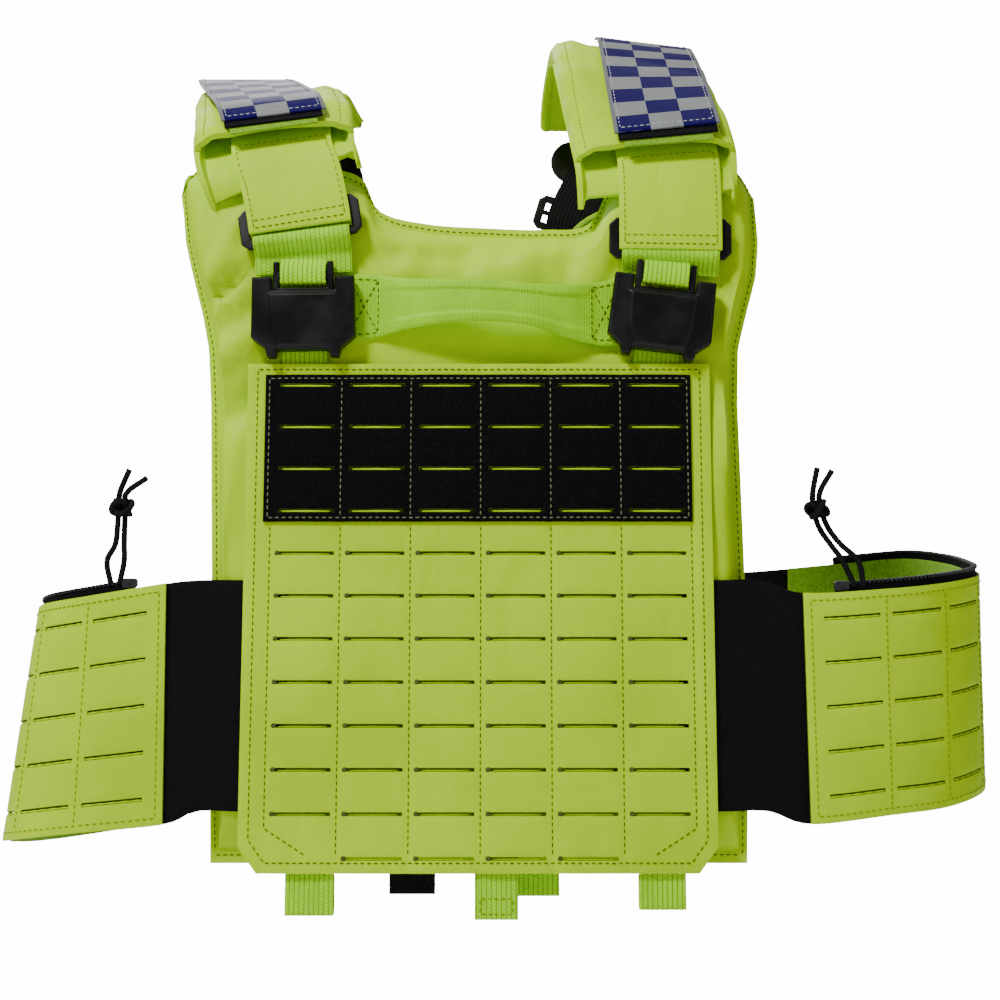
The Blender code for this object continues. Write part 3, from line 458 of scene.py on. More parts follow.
def hill(x, width):
    return math.exp(-((x / width) ** 2))


def lengths_along(points):
    """The length of a line of points up to each of them."""
    return np.concatenate(([0], np.cumsum(np.linalg.norm(np.diff(points, axis=0), axis=1))))


def turned_matrix(run, out):
    """A turn whose first direction is run and whose third is out."""
    return Matrix((run, out.cross(run), out)).transposed().to_4x4()


# Shader groups


def link(tree, source, target):
    tree.links.new(source, target)


def put(tree, kind, sockets=None, **settings):
    """Adds a node with its settings, and its sockets set to values or linked to other nodes' outputs."""
    node = tree.nodes.new(kind)
    for key, value in settings.items():
        setattr(node, key, value)
    for key, value in (sockets or {}).items():
        if isinstance(value, bpy.types.NodeSocket):
            link(tree, value, node.inputs[key])
        else:
            node.inputs[key].default_value = value
    return node


def calc(tree, operation, a, b=0.0, c=0.0):
    """The output of a Math node."""
    return put(tree, "ShaderNodeMath", {0: a, 1: b, 2: c}, operation=operation).outputs[0]


def noise(tree, place, scale, detail, distortion=0.0):
    """The height of a noise texture."""
    sockets = {"Vector": place, "Scale": scale, "Detail": detail, "Distortion": distortion}
    return put(tree, "ShaderNodeTexNoise", sockets).outputs["Fac"]


def spread(tree, value, low, high, start=0.0, end=1.0):
    """A value that runs from start to end, stretched to run from low to high."""
    sockets = {"Value": value, "From Min": start, "From Max": end, "To Min": low, "To Max": high}
    return put(tree, "ShaderNodeMapRange", sockets).outputs[0]


def blend(tree, share, first, second):
    """The output of a Mix node between two colours."""
    return put(tree, "ShaderNodeMix", {0: share, 6: first, 7: second}, data_type="RGBA").outputs[2]


def full(colour, share=1.0):
    """A colour with its alpha, made darker or brighter by a share."""
    return (*(share * c for c in colour), 1)


def group(name, inputs, outputs, fill):
    """A shader node group with named sockets, built once by fill(tree, inputs, outputs)."""
    made = bpy.data.node_groups.get(name)
    if made:
        return made
    made = bpy.data.node_groups.new(name, "ShaderNodeTree")
    kinds = {"value": "NodeSocketFloat", "colour": "NodeSocketColor", "vector": "NodeSocketVector"}
    for label, kind, default in inputs:
        socket = made.interface.new_socket(label, in_out="INPUT", socket_type=kinds[kind])
        if default is not None:
            socket.default_value = default
    for label, kind in outputs:
        made.interface.new_socket(label, in_out="OUTPUT", socket_type=kinds[kind])
    start = made.nodes.new("NodeGroupInput")
    end = made.nodes.new("NodeGroupOutput")
    fill(made, start.outputs, end.inputs)
    return made


def rib_group():
    """Ribs of webbing that run along it, crossed by the picks of the weave, and the grooves between them, where
    the webbing paints shade.
    """

    def fill(tree, given, result):
        rib = calc(tree, "DIVIDE", given["Across"], given["Rib"])
        wave = calc(tree, "ABSOLUTE", calc(tree, "SINE", calc(tree, "MULTIPLY", rib, math.pi)))
        turn = calc(tree, "MULTIPLY", calc(tree, "FLOOR", rib), math.pi)
        pick = calc(tree, "DIVIDE", calc(tree, "MULTIPLY", given["Along"], 2 * math.pi), given["Pick"])
        weft = calc(tree, "MULTIPLY_ADD", calc(tree, "SINE", calc(tree, "ADD", pick, turn)), 0.4, 0.6)
        link(tree, calc(tree, "MULTIPLY", calc(tree, "POWER", wave, 0.6), weft), result["Height"])
        link(tree, calc(tree, "LESS_THAN", wave, 0.28), result["Groove"])

    inputs = (("Across", "value", 0), ("Along", "value", 0), ("Rib", "value", 2.6), ("Pick", "value", 1.6))
    return group("Webbing ribs", inputs, (("Height", "value"), ("Groove", "value")), fill)


def twill_group():
    """Fine diagonal weave under a coating."""

    def fill(tree, given, result):
        run = calc(tree, "ADD", given["Across"], calc(tree, "MULTIPLY", given["Along"], 0.8))
        turn = calc(tree, "DIVIDE", calc(tree, "MULTIPLY", run, 2 * math.pi), given["Pitch"])
        cross = calc(tree, "SUBTRACT", given["Along"], calc(tree, "MULTIPLY", given["Across"], 0.5))
        over = calc(tree, "DIVIDE", calc(tree, "MULTIPLY", cross, 2 * math.pi), given["Pitch"])
        height = calc(tree, "MULTIPLY_ADD", calc(tree, "SINE", turn), 0.35, 0.5)
        link(tree, calc(tree, "MULTIPLY_ADD", calc(tree, "SINE", over), 0.15, height), result["Height"])

    inputs = (("Across", "value", 0), ("Along", "value", 0), ("Pitch", "value", 0.9))
    return group("Twill weave", inputs, (("Height", "value"),), fill)


def wear_and_shade_group():
    """Slow random drift of tone over cloth, on the coated cloth partly painted shade of its folds, and creases
    that catch the light.
    """

    def fill(tree, given, result):
        slow = noise(tree, given["Place"], given["Scale"], 3.0)
        mask = spread(tree, slow, 0.0, 1.0, *WEAR_AND_SHADE_FROM_TO)
        link(tree, mask, result["Mask"])
        link(tree, blend(tree, mask, given["Colour"], given["Shade"]), result["Colour"])
        bent = put(tree, "ShaderNodeVectorMath", {0: given["Place"], 1: CREASE_STRETCH}, operation="MULTIPLY")
        crease = noise(tree, bent.outputs[0], given["Crease scale"], 2.0, 1.2)
        ridge = calc(tree, "ABSOLUTE", calc(tree, "SUBTRACT", crease, 0.5))
        link(tree, calc(tree, "MULTIPLY", calc(tree, "POWER", ridge, CREASE_POWER), CREASE_GAIN), result["Crease"])

    inputs = (
        ("Place", "vector", None),
        ("Colour", "colour", (0.5, 0.5, 0.5, 1)),
        ("Shade", "colour", (0.3, 0.3, 0.3, 1)),
        ("Scale", "value", 9.0),
        ("Crease scale", "value", 14.0),
    )
    outputs = (("Colour", "colour"), ("Mask", "value"), ("Crease", "value"))
    return group("Handled cloth", inputs, outputs, fill)


def nap_group():
    """Short fibres: a rough height and a speckle."""

    def fill(tree, given, result):
        fine = noise(tree, given["Place"], given["Scale"], 4.0)
        tuft = put(tree, "ShaderNodeTexVoronoi", {"Vector": given["Place"], "Scale": given["Scale"]})
        link(tree, calc(tree, "MULTIPLY_ADD", tuft.outputs["Distance"], -0.6, fine), result["Height"])
        link(tree, calc(tree, "GREATER_THAN", fine, SPECKLE_FROM), result["Speckle"])

    inputs = (("Place", "vector", None), ("Scale", "value", 900.0))
    return group("Nap", inputs, (("Height", "value"), ("Speckle", "value")), fill)


# Materials


def start_material(name, **settings):
    """A new material with its shader's fixed sockets set. Gives it, its tree, its shader and the place on it."""
    made = bpy.data.materials.new(name)
    made.use_nodes = True
    shader = made.node_tree.nodes["Principled BSDF"]
    for key, value in settings.items():
        shader.inputs[key.replace("_", " ")].default_value = value
    place = put(made.node_tree, "ShaderNodeTexCoord").outputs["Object"]
    return made, made.node_tree, shader, place


def weave_map(tree):
    """The weave's map in millimetres: across the cloth, then along it."""
    uv = put(tree, "ShaderNodeUVMap", uv_map="weave").outputs[0]
    return put(tree, "ShaderNodeSeparateXYZ", {0: uv}).outputs[:2]


def worn_and_shaded(tree, place, colour, shade, scale=9.0):
    """The outputs of the group of worn and shaded cloth, between two full colours."""
    sockets = {"Place": place, "Colour": colour, "Shade": shade, "Scale": scale}
    return put(tree, "ShaderNodeGroup", sockets, node_tree=wear_and_shade_group()).outputs


def bump(tree, shader, height, distance, strength=1.0, under=None):
    """Feeds the shader's normal from a height in millimetres of depth."""
    sockets = {"Height": height, "Distance": distance * MM, "Strength": strength}
    if under:
        sockets["Normal"] = under
    normal = put(tree, "ShaderNodeBump", sockets).outputs[0]
    link(tree, normal, shader.inputs["Normal"])
    return normal


def laminate_material(name):
    """Coated cloth: smooth, a little glossy, with a fine twill that shows through."""
    made, tree, shader, place = start_material(name, Specular_IOR_Level=0.08)
    across, along = weave_map(tree)
    # Darker patches at random: partly tone drift, partly painted shade of the folds
    cloth = worn_and_shaded(tree, place, full(colours().laminate), full(colours().laminate_tone_and_shade))
    link(tree, cloth["Colour"], shader.inputs["Base Color"])
    link(tree, spread(tree, cloth["Mask"], 0.42, 0.56), shader.inputs["Roughness"])
    twill = put(tree, "ShaderNodeGroup", {"Across": across, "Along": along}, node_tree=twill_group())
    weave = bump(tree, shader, twill.outputs["Height"], 0.05, 0.5)
    bump(tree, shader, cloth["Crease"], 3.0, 0.6, weave)
    return made


def webbing_material(name, colour, dark, roughness=0.62, rib=2.6, depth=0.25):
    """Ribbed strap: the ribs run along it, with painted shade in the grooves between them."""
    made, tree, shader, place = start_material(name, Specular_IOR_Level=0.15, Roughness=roughness)
    across, along = weave_map(tree)
    sockets = {"Across": across, "Along": along, "Rib": rib, "Pick": 2.1}
    ribs = put(tree, "ShaderNodeGroup", sockets, node_tree=rib_group()).outputs
    cloth = worn_and_shaded(tree, place, full(colour), full(colour, 0.8), 30.0)
    # The grooves get the darker colour: painted shade
    link(tree, blend(tree, ribs["Groove"], cloth["Colour"], dark), shader.inputs["Base Color"])
    bump(tree, shader, ribs["Height"], depth, 0.8)
    return made


def nap_material(name, colour, speck, scale, depth, roughness=0.95, sheen=0.0):
    """Velour, loop or hook cloth, with specks a share as bright as its colour."""
    made, tree, shader, place = start_material(
        name, Sheen_Weight=sheen, Sheen_Roughness=0.6, Specular_IOR_Level=0.1, Roughness=roughness,
    )
    nap = put(tree, "ShaderNodeGroup", {"Place": place, "Scale": scale}, node_tree=nap_group()).outputs
    link(tree, blend(tree, nap["Speckle"], full(colour), full(colour, speck)), shader.inputs["Base Color"])
    bump(tree, shader, nap["Height"], depth, 0.7)
    return made


def plastic_material(name):
    """Moulded nylon with a fine spark-eroded grain and paler worn spots."""
    made, tree, shader, place = start_material(name, Specular_IOR_Level=0.3)
    cloth = worn_and_shaded(tree, place, full(colours().plastic), full(colours().plastic, 2.2), 60.0)
    link(tree, cloth["Colour"], shader.inputs["Base Color"])
    link(tree, spread(tree, cloth["Mask"], 0.32, 0.48), shader.inputs["Roughness"])
    bump(tree, shader, noise(tree, place, 2600.0, 2.0), 0.06, 0.5)
    return made


def check_material(name):
    """Checks printed under a clear film, with a clear border."""
    made, tree, shader, place = start_material(
        name, Coat_Weight=0.14, Coat_Roughness=0.1, Roughness=0.5, Specular_IOR_Level=0.02,
    )
    across, along = weave_map(tree)
    side, silver = sizes().check / MM, colours().silver
    column = calc(tree, "FLOOR", calc(tree, "DIVIDE", calc(tree, "ADD", across, side * 1.5), side))
    row = calc(tree, "FLOOR", calc(tree, "DIVIDE", along, sizes().check_long / MM))
    odd = calc(tree, "FLOORED_MODULO", calc(tree, "ADD", column, row), 2.0)
    faded = blend(tree, noise(tree, place, 55.0, 4.0), full(silver), full(silver, 0.75))
    checks = blend(tree, odd, full(colours().navy), faded)
    edge = calc(tree, "GREATER_THAN", calc(tree, "ABSOLUTE", across), side * 1.5)
    link(tree, blend(tree, edge, checks, full(silver, 0.6)), shader.inputs["Base Color"])
    bump(tree, shader, noise(tree, place, 38.0, 3.0, 1.5), 1.6, 0.6)
    return made


def cord_material(name):
    """Braided cord, lighter on the crests of the braid and darker in its hollows: painted highlight and painted
    shade.
    """
    made, tree, shader, place = start_material(name, Roughness=0.8, Specular_IOR_Level=0.2)
    waves = []
    for turn in (0.9, -0.9):
        spin = put(tree, "ShaderNodeMapping", {0: place, "Rotation": (0, turn, 0)}).outputs[0]
        waves.append(put(tree, "ShaderNodeTexWave", {"Vector": spin, "Scale": 260.0}).outputs["Fac"])
    braid = calc(tree, "MULTIPLY", *waves)
    # Painted highlight on the braid's crests and painted shade in its hollows
    link(tree, blend(tree, braid, full(colours().black), full(colours().black, 3)), shader.inputs["Base Color"])
    bump(tree, shader, braid, 0.35, 0.8)
    return made


def thread_material(name, colour):
    """Twisted sewing thread."""
    made, tree, shader, place = start_material(name, Roughness=0.6, Specular_IOR_Level=0.2)
    sockets = {"Vector": place, "Scale": 700.0, "Distortion": 2.0}
    twist = put(tree, "ShaderNodeTexWave", sockets).outputs["Fac"]
    link(tree, blend(tree, twist, full(colour), full(colour, 0.6)), shader.inputs["Base Color"])
    bump(tree, shader, twist, 0.1, 0.5)
    return made


def mottled_material(name, dark, pale, scale, **settings):
    """Two tones in fine spots: zip metal that has rubbed, or the edge that a hot blade leaves on coated cloth."""
    made, tree, shader, place = start_material(name, **settings)
    link(tree, blend(tree, noise(tree, place, scale, 2.0), full(dark), full(pale)), shader.inputs["Base Color"])
    return made


def make_finish(label):
    """Makes the material of a finish."""
    webbing, black, velour = colours().webbing, colours().black, colours().velour
    makers = {
        "laminate": (laminate_material, "Laminate"),
        # Each webbing's second colour is the painted shade of its grooves
        "webbing": (webbing_material, "Webbing", webbing, full(webbing, 0.45), 0.62, sizes().rib / MM),
        "handle webbing": (webbing_material, "Handle webbing", webbing, full(webbing, 0.62), 0.6, 1.5, 0.22),
        "black webbing": (webbing_material, "Black webbing", black, (0.002, 0.002, 0.002, 1), 0.7),
        "elastic": (webbing_material, "Elastic", black, (0.002, 0.002, 0.003, 1), 0.8, 1.5, 0.2),
        "velour": (nap_material, "Velour", velour, 0.7, 700, 0.6, 0.95, 0.1),
        "loop": (nap_material, "Loop", black, 2.5, 1100, 0.7),
        "hook": (nap_material, "Hook", black, 5, 1500, 0.9, 0.6),
        "plastic": (plastic_material, "Moulded plastic"),
        "checks": (check_material, "Checked film"),
        "cord": (cord_material, "Braided cord"),
        "olive thread": (thread_material, "Olive thread", (0.10, 0.17, 0.0)),
        "yellow thread": (thread_material, "Yellow thread", (0.30, 0.44, 0.0)),
        "pale thread": (thread_material, "Pale thread", (0.30, 0.33, 0.16)),
        "white thread": (thread_material, "White thread", (0.75, 0.78, 0.75)),
    }
    if label in makers:
        maker, *given = makers[label]
        return maker(*given)
    if label == "metal":
        metal = (0.01, 0.01, 0.011), (0.09, 0.09, 0.1)
        return mottled_material("Zip metal", *metal, 400.0, Metallic=0.8, Roughness=0.36)
    name, *tones = {
        "sealed edge": ("Sealed edge", (0.10, 0.14, 0.0), (0.32, 0.45, 0.0)),
        "pierce mark": ("Pierce mark", (0.02, 0.025, 0.0), (0.12, 0.15, 0.0)),
    }[label]
    return mottled_material(name, *tones, 500.0, Roughness=0.6)


def finish(label):
    """The material of a finish, made the first time it is asked for."""
    kept = bpy.context.scene.get("vest_materials")
    known = dict(kept) if kept else {}
    if label not in known:
        known[label] = make_finish(label).name
        bpy.context.scene["vest_materials"] = known
    return bpy.data.materials[known[label]]


# Pieces


def add_object(name, data):
    made = bpy.data.objects.new(name, data)
    bpy.context.scene.collection.objects.link(made)
    return made


def mesh_of(name, form):
    """The mesh of a form, which it uses up."""
    mesh = bpy.data.meshes.new(name)
    form.to_mesh(mesh)
    form.free()
    return mesh


def smooth(form):
    for face in form.faces:
        face.smooth = True


def add_piece(name, form, labels, slot=None, nodes=()):
    """Makes the object of a form, with its finishes, its ride and the nodes that it stands for."""
    piece = add_object(name, mesh_of(name, form))
    for label in labels:
        piece.data.materials.append(finish(label))
    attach(piece, "root")
    if nodes:
        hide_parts(*nodes)
    return piece


def surface(name, us, vs, place, wall, labels, slot=None, nodes=(), holes=(), cuts=(), closed=False, edge=0.3):
    """Cloth over the grid lines us and vs, with its holes and cuts made flat, then put in place and thickened.

    holes are u from, u to, v from, v to; cuts are a point and a direction to cut away. The weave's map is in
    millimetres. A second finish in labels goes on the rim.
    """
    form = bmesh.new()
    bmesh.ops.create_grid(form, x_segments=len(us) - 1, y_segments=len(vs) - 1, size=0.5)
    for corner in form.verts:
        i, j = round((corner.co.x + 0.5) * (len(us) - 1)), round((corner.co.y + 0.5) * (len(vs) - 1))
        corner.co = (us[i], vs[j], 0)
    cut = []
    for face in form.faces:
        u, v, _ = face.calc_center_median()
        if any(a < u < b and c < v < d for a, b, c, d in holes):
            cut.append(face)
    bmesh.ops.delete(form, geom=cut, context="FACES")
    for point, away in cuts:
        everything = [*form.verts, *form.edges, *form.faces]
        bmesh.ops.bisect_plane(
            form, geom=everything, dist=1e-5, plane_co=(*point, 0), plane_no=(*away, 0), clear_outer=True,
        )
    uv = form.loops.layers.uv.new("weave")
    smooth(form)
    for face in form.faces:
        for loop in face.loops:
            loop[uv].uv = loop.vert.co.xy
    for corner in form.verts:
        corner.co = metres(place(corner.co.x, corner.co.y))
    if closed:
        bmesh.ops.remove_doubles(form, verts=form.verts, dist=0.01 * MM)
    piece = add_piece(name, form, labels, slot, nodes)
    shell = piece.modifiers.new("wall", "SOLIDIFY")
    shell.thickness = wall * MM
    shell.offset = -1
    shell.use_rim = True
    if len(labels) > 1:
        shell.material_offset_rim = 1
    if edge:
        soften(piece, edge, 60)
    return piece


def soften(piece, edge, angle):
    """Rounds a piece's edges that bend by more than an angle in degrees."""
    soft = piece.modifiers.new("soft edge", "BEVEL")
    soft.width = edge * MM
    soft.segments = 2
    soft.limit_method = "ANGLE"
    soft.angle_limit = math.radians(angle)


def add_beads(form, spots, around=5, rings=4):
    """Adds a round bead at each matrix, made apart in small lots because that is much quicker."""
    for first in range(0, len(spots), BEAD_LOT):
        lot = bmesh.new()
        for spot in spots[first : first + BEAD_LOT]:
            bmesh.ops.create_uvsphere(lot, u_segments=around, v_segments=rings, radius=1, matrix=spot)
        mesh = mesh_of("lot", lot)
        form.from_mesh(mesh)
        bpy.data.meshes.remove(mesh)


def slope(place, spot, turn):
    """The direction on a surface at a spot u, v when u, v move by a turn."""
    return (Vector(place(*(spot + turn))) - Vector(place(*(spot - turn)))).normalized()


def stitch_matrix(middle, run, across, long):
    """Where a stitch lies: its middle and length in millimetres, with its two directions."""
    out = run.cross(across).normalized()
    thick = sizes().thread
    size = Matrix.Diagonal((long / 2 * MM, thick / 2, thick / 2, 1))
    return Matrix.Translation((Vector(middle) + out * STITCH_LIFT) * MM) @ turned_matrix(run, out) @ size


def sew(form, place, start, end):
    """A run of stitches on a surface from one u, v to another."""
    step = sizes().stitch_step / MM
    start, end = Vector(start), Vector(end)
    run = end - start
    count = max(1, round(run.length / step))
    long = sizes().stitch / MM * run.length / count / step
    turn = run.normalized()
    side = Vector((-turn.y, turn.x))
    spots = []
    for k in range(count):
        spot = start + run * (k + 0.5) / count
        spots.append(stitch_matrix(place(*spot), slope(place, spot, turn), slope(place, spot, side), long))
    add_beads(form, spots)


def add_form(name, form, label, slot=None, nodes=()):
    """Makes a smooth piece of one finish from a form."""
    smooth(form)
    return add_piece(name, form, [label], slot, nodes)


def sides_of(corners):
    return zip(corners, [*corners[1:], corners[0]])


def add_seams(name, label, place, rings, rows=()):
    """Stitches on a surface: round each ring's corners, and along each row from one u, v to another."""
    form = bmesh.new()
    for corners in rings:
        for a, b in sides_of(corners):
            sew(form, place, a, b)
    for start, end in rows:
        sew(form, place, start, end)
    add_form(name, form, label)


def box_corners(left, right, low, high):
    return [(left, low), (right, low), (right, high), (left, high)]


# Bags


def bag_bend(s):
    share = max(0.0, (s - BEND_FROM) / (BEND_TO - BEND_FROM))
    return -SHOULDER_BEND * share**2


def fold_height(x, s):
    height = 0.0
    for fold_x, fold_s, angle, long, wide, tall in FOLDS:
        turn = math.radians(angle)
        along = (x - fold_x) * math.cos(turn) + (s - fold_s) * math.sin(turn)
        aside = (s - fold_s) * math.cos(turn) - (x - fold_x) * math.sin(turn)
        height += FOLD_DEPTH * tall * hill(along, long) * hill(aside, wide)
    return height


TOP_LINE = smooth_line(BAG_TOP, FINER)
BAG_COLUMNS, BAG_LINES = len(TOP_LINE) - 1, FINER * (len(BAG_ROWS) - 1)


def bag_place(column, row, inset=0.0):
    """Place x, s of a fine column and row of the bag."""
    top_x, top_s = (float(np.interp(column, range(BAG_COLUMNS + 1), part)) for part in TOP_LINE.T)
    left, right = table_value(BAG_SIDES, top_s, 1), table_value(BAG_SIDES, top_s, 2)
    share = min(1.0, max(0.0, (top_x - left) / (right - left)))
    least = BAG_RIM_SHARE * min(RIM_RINGS, column / FINER)
    most = 1 - BAG_RIM_SHARE * min(RIM_RINGS, (BAG_COLUMNS - column) / FINER)
    rim = min(most, max(least, share))
    up = float(np.interp(row / FINER, range(len(BAG_ROWS)), BAG_ROWS))
    share = rim + (share - rim) * up**8
    share = {0: 0.0, BAG_COLUMNS: 1.0}.get(round(column), share)
    s = BAG_BOTTOM + inset + up * (top_s - BAG_BOTTOM - 2 * inset)
    left, right = table_value(BAG_SIDES, s, 1) + inset, table_value(BAG_SIDES, s, 2) - inset
    return left + share * (right - left), s


def bag_ring(column, row):
    """How many of the tables' columns or rows a place lies in from the bag's rim."""
    return min(column, BAG_COLUMNS - column, row, BAG_LINES - row) / FINER


def bag_out(column, row, x, s, folded):
    ring = bag_ring(column, row)
    out = float(np.interp(ring, range(len(BAG_EDGE)), BAG_EDGE))
    if 1 < ring < 3:
        out += RIM_ROLL * math.sin(math.pi * (ring - 1) / 2)
    out -= RIM_DENT * hill(ring - 1.0, RIM_DENT_WIDE)
    if folded:
        out += fold_height(x, s) * min(1.0, max(0.0, ring - 1))
    ripple = math.sin(x / 23 + 1.7 * math.sin(s / 31)) * math.sin(s / 27 + 0.8)
    return out + RIPPLE * ripple * min(1.0, ring) + bag_bend(s)


def bag_face(name, panel, outwards, folded):
    def place(column, row):
        if outwards > 0:
            column = BAG_COLUMNS - column
        x, s = bag_place(column, row)
        return panel @ Vector((x, outwards * bag_out(column, row, x, s, folded), s))

    lines = list(range(BAG_COLUMNS + 1)), list(range(BAG_LINES + 1))
    piece = surface(name + "_cloth", *lines, place, FACE_WALL, ["laminate"], "yellow_laminate", [name])
    set_weave(piece, lambda point: panel.inverted() @ point)
    form = bmesh.new()
    inside = BAG_SEAM * FINER
    corners = box_corners(inside, BAG_COLUMNS - inside, inside, BAG_LINES - inside)
    for a, b in sides_of(corners):
        sew_along(form, place, Vector(a), Vector(b))
    add_form(name + "_stitches", form, "olive thread")


def set_weave(piece, flat):
    """Sets the weave's map from each corner's place on a flat panel, in millimetres."""
    layer = piece.data.uv_layers["weave"].data
    for loop in piece.data.loops:
        x, _, s = flat(piece.data.vertices[loop.vertex_index].co / MM)
        layer[loop.index].uv = (x, s)


def sew_along(form, place, start, end):
    """Evenly spaced stitches on a grid whose u and v aren't millimetres."""
    shares = np.linspace(0, 1, 201)
    along = lengths_along([place(*start.lerp(end, share)) for share in shares])
    step = sizes().stitch_step / MM
    turn = (end - start).normalized() * 0.3
    side = Vector((-turn.y, turn.x))
    beads = []
    for k in range(int(along[-1] / step)):
        share = float(np.interp((k + 0.5) * step, along, shares))
        here = start.lerp(end, min(0.998, max(0.002, share)))
        run, across = slope(place, here, turn), slope(place, here, side)
        beads.append(stitch_matrix(place(*here), run, across, sizes().stitch / MM))
    add_beads(form, beads)


def bag_lining(name, panel, outwards):
    def place(column, row):
        if outwards > 0:
            column = BAG_COLUMNS - column
        x, s = bag_place(column, row, 1.0)
        tuck = LINING_TUCK * hill(bag_ring(column, row), 0.5)
        quilt = LINING_QUILT * math.sin(x / QUILT_STEP) * math.sin(s / QUILT_STEP)
        return panel @ Vector((x, outwards * (LINING_OUT - tuck + quilt + bag_bend(s)), s))

    lines = list(range(0, BAG_COLUMNS + 1, 2)), list(range(0, BAG_LINES + 1, 2))
    piece = surface(
        name + "_pad", *lines, place, LINING_WALL, ["velour"], "lime_velour", [name], edge=1.2,
    )


class VEST_OT_bags(bpy.types.Operator):
    """Makes the faces and linings of the front and back bags"""

    bl_idname = "vest.bags"
    bl_label = "Bags"

    def execute(self, context):
        bag_face("front_face", FRONT_MATRIX, -1, True)
        bag_lining("front_lining", FRONT_MATRIX, -1)
        bag_face("back_face", BACK_MATRIX, 1, False)
        bag_lining("back_lining", BACK_MATRIX, 1)
        return {"FINISHED"}


# Flap


def flap_wave(x, s):
    """Soft unevenness of the flap: pulled in along its seams, a little slack between them."""
    seams = [FIRST_COLUMN + k * COLUMN for k in range(COLUMNS + 1)]
    pulled = sum(hill(x - seam, SEAM_PULL_WIDE) for seam in seams)
    slack = FLAP_SLACK * math.sin(x / 41 + 0.6) * math.sin(s / 53 + 1.1)
    pillow = FLAP_PILLOW * math.sin(math.pi * (x - FIRST_COLUMN) / COLUMN) ** 2
    return slack + pillow - SEAM_PULL * pulled


def slot_boxes(rows, skipped=()):
    boxes = []
    for j in range(rows):
        for k in range(COLUMNS):
            if (k, j) not in skipped:
                left, middle = FIRST_COLUMN + k * COLUMN + SLOT_INSET, FIRST_ROW - j * ROW
                boxes.append((left, left + SLOT_LONG, middle - SLOT_TALL / 2, middle + SLOT_TALL / 2))
    return boxes


def flap_lines(left, right, low, high, boxes):
    seams = [FIRST_COLUMN + k * COLUMN + aside for k in range(COLUMNS + 1) for aside in (-2.2, 0, 2.2)]
    us = sorted({left, right, *(x for box in boxes for x in box[:2]), *(x for x in seams if left < x < right)})
    vs = sorted({low, high, *(s for box in boxes for s in box[2:])})
    return fill_lines(us, 5.5), fill_lines(vs, 5.5)


def slot_lips(name, place, boxes, deep, pieces=1):
    """The pale lower lip that each slot shows, deep millimetres under the cloth's surface."""
    form = bmesh.new()
    spots = []
    for left, right, low, high in boxes:
        step = (right - left) / pieces
        for k in range(pieces):
            u = left + (k + 0.5) * step
            v = low + LIP_SHARE * (high - low)
            start, end = Vector(place(u - step / 2, v)), Vector(place(u + step / 2, v))
            across = (Vector(place(u, high)) - Vector(place(u, low))).normalized()
            run = (end - start).normalized()
            out = run.cross(across).normalized()
            long = (end - start).length * (LIP_LONG if pieces == 1 else LIP_OVERLAP)
            size = Matrix.Diagonal((long * MM, LIP_WIDE * MM, LIP_THICK * MM, 1))
            middle = (start + end) / 2 - out * deep
            spots.append(Matrix.Translation(middle * MM) @ turned_matrix(run, out) @ size)
    add_beads(form, spots, 6, 8)
    add_form(name, form, "laminate")


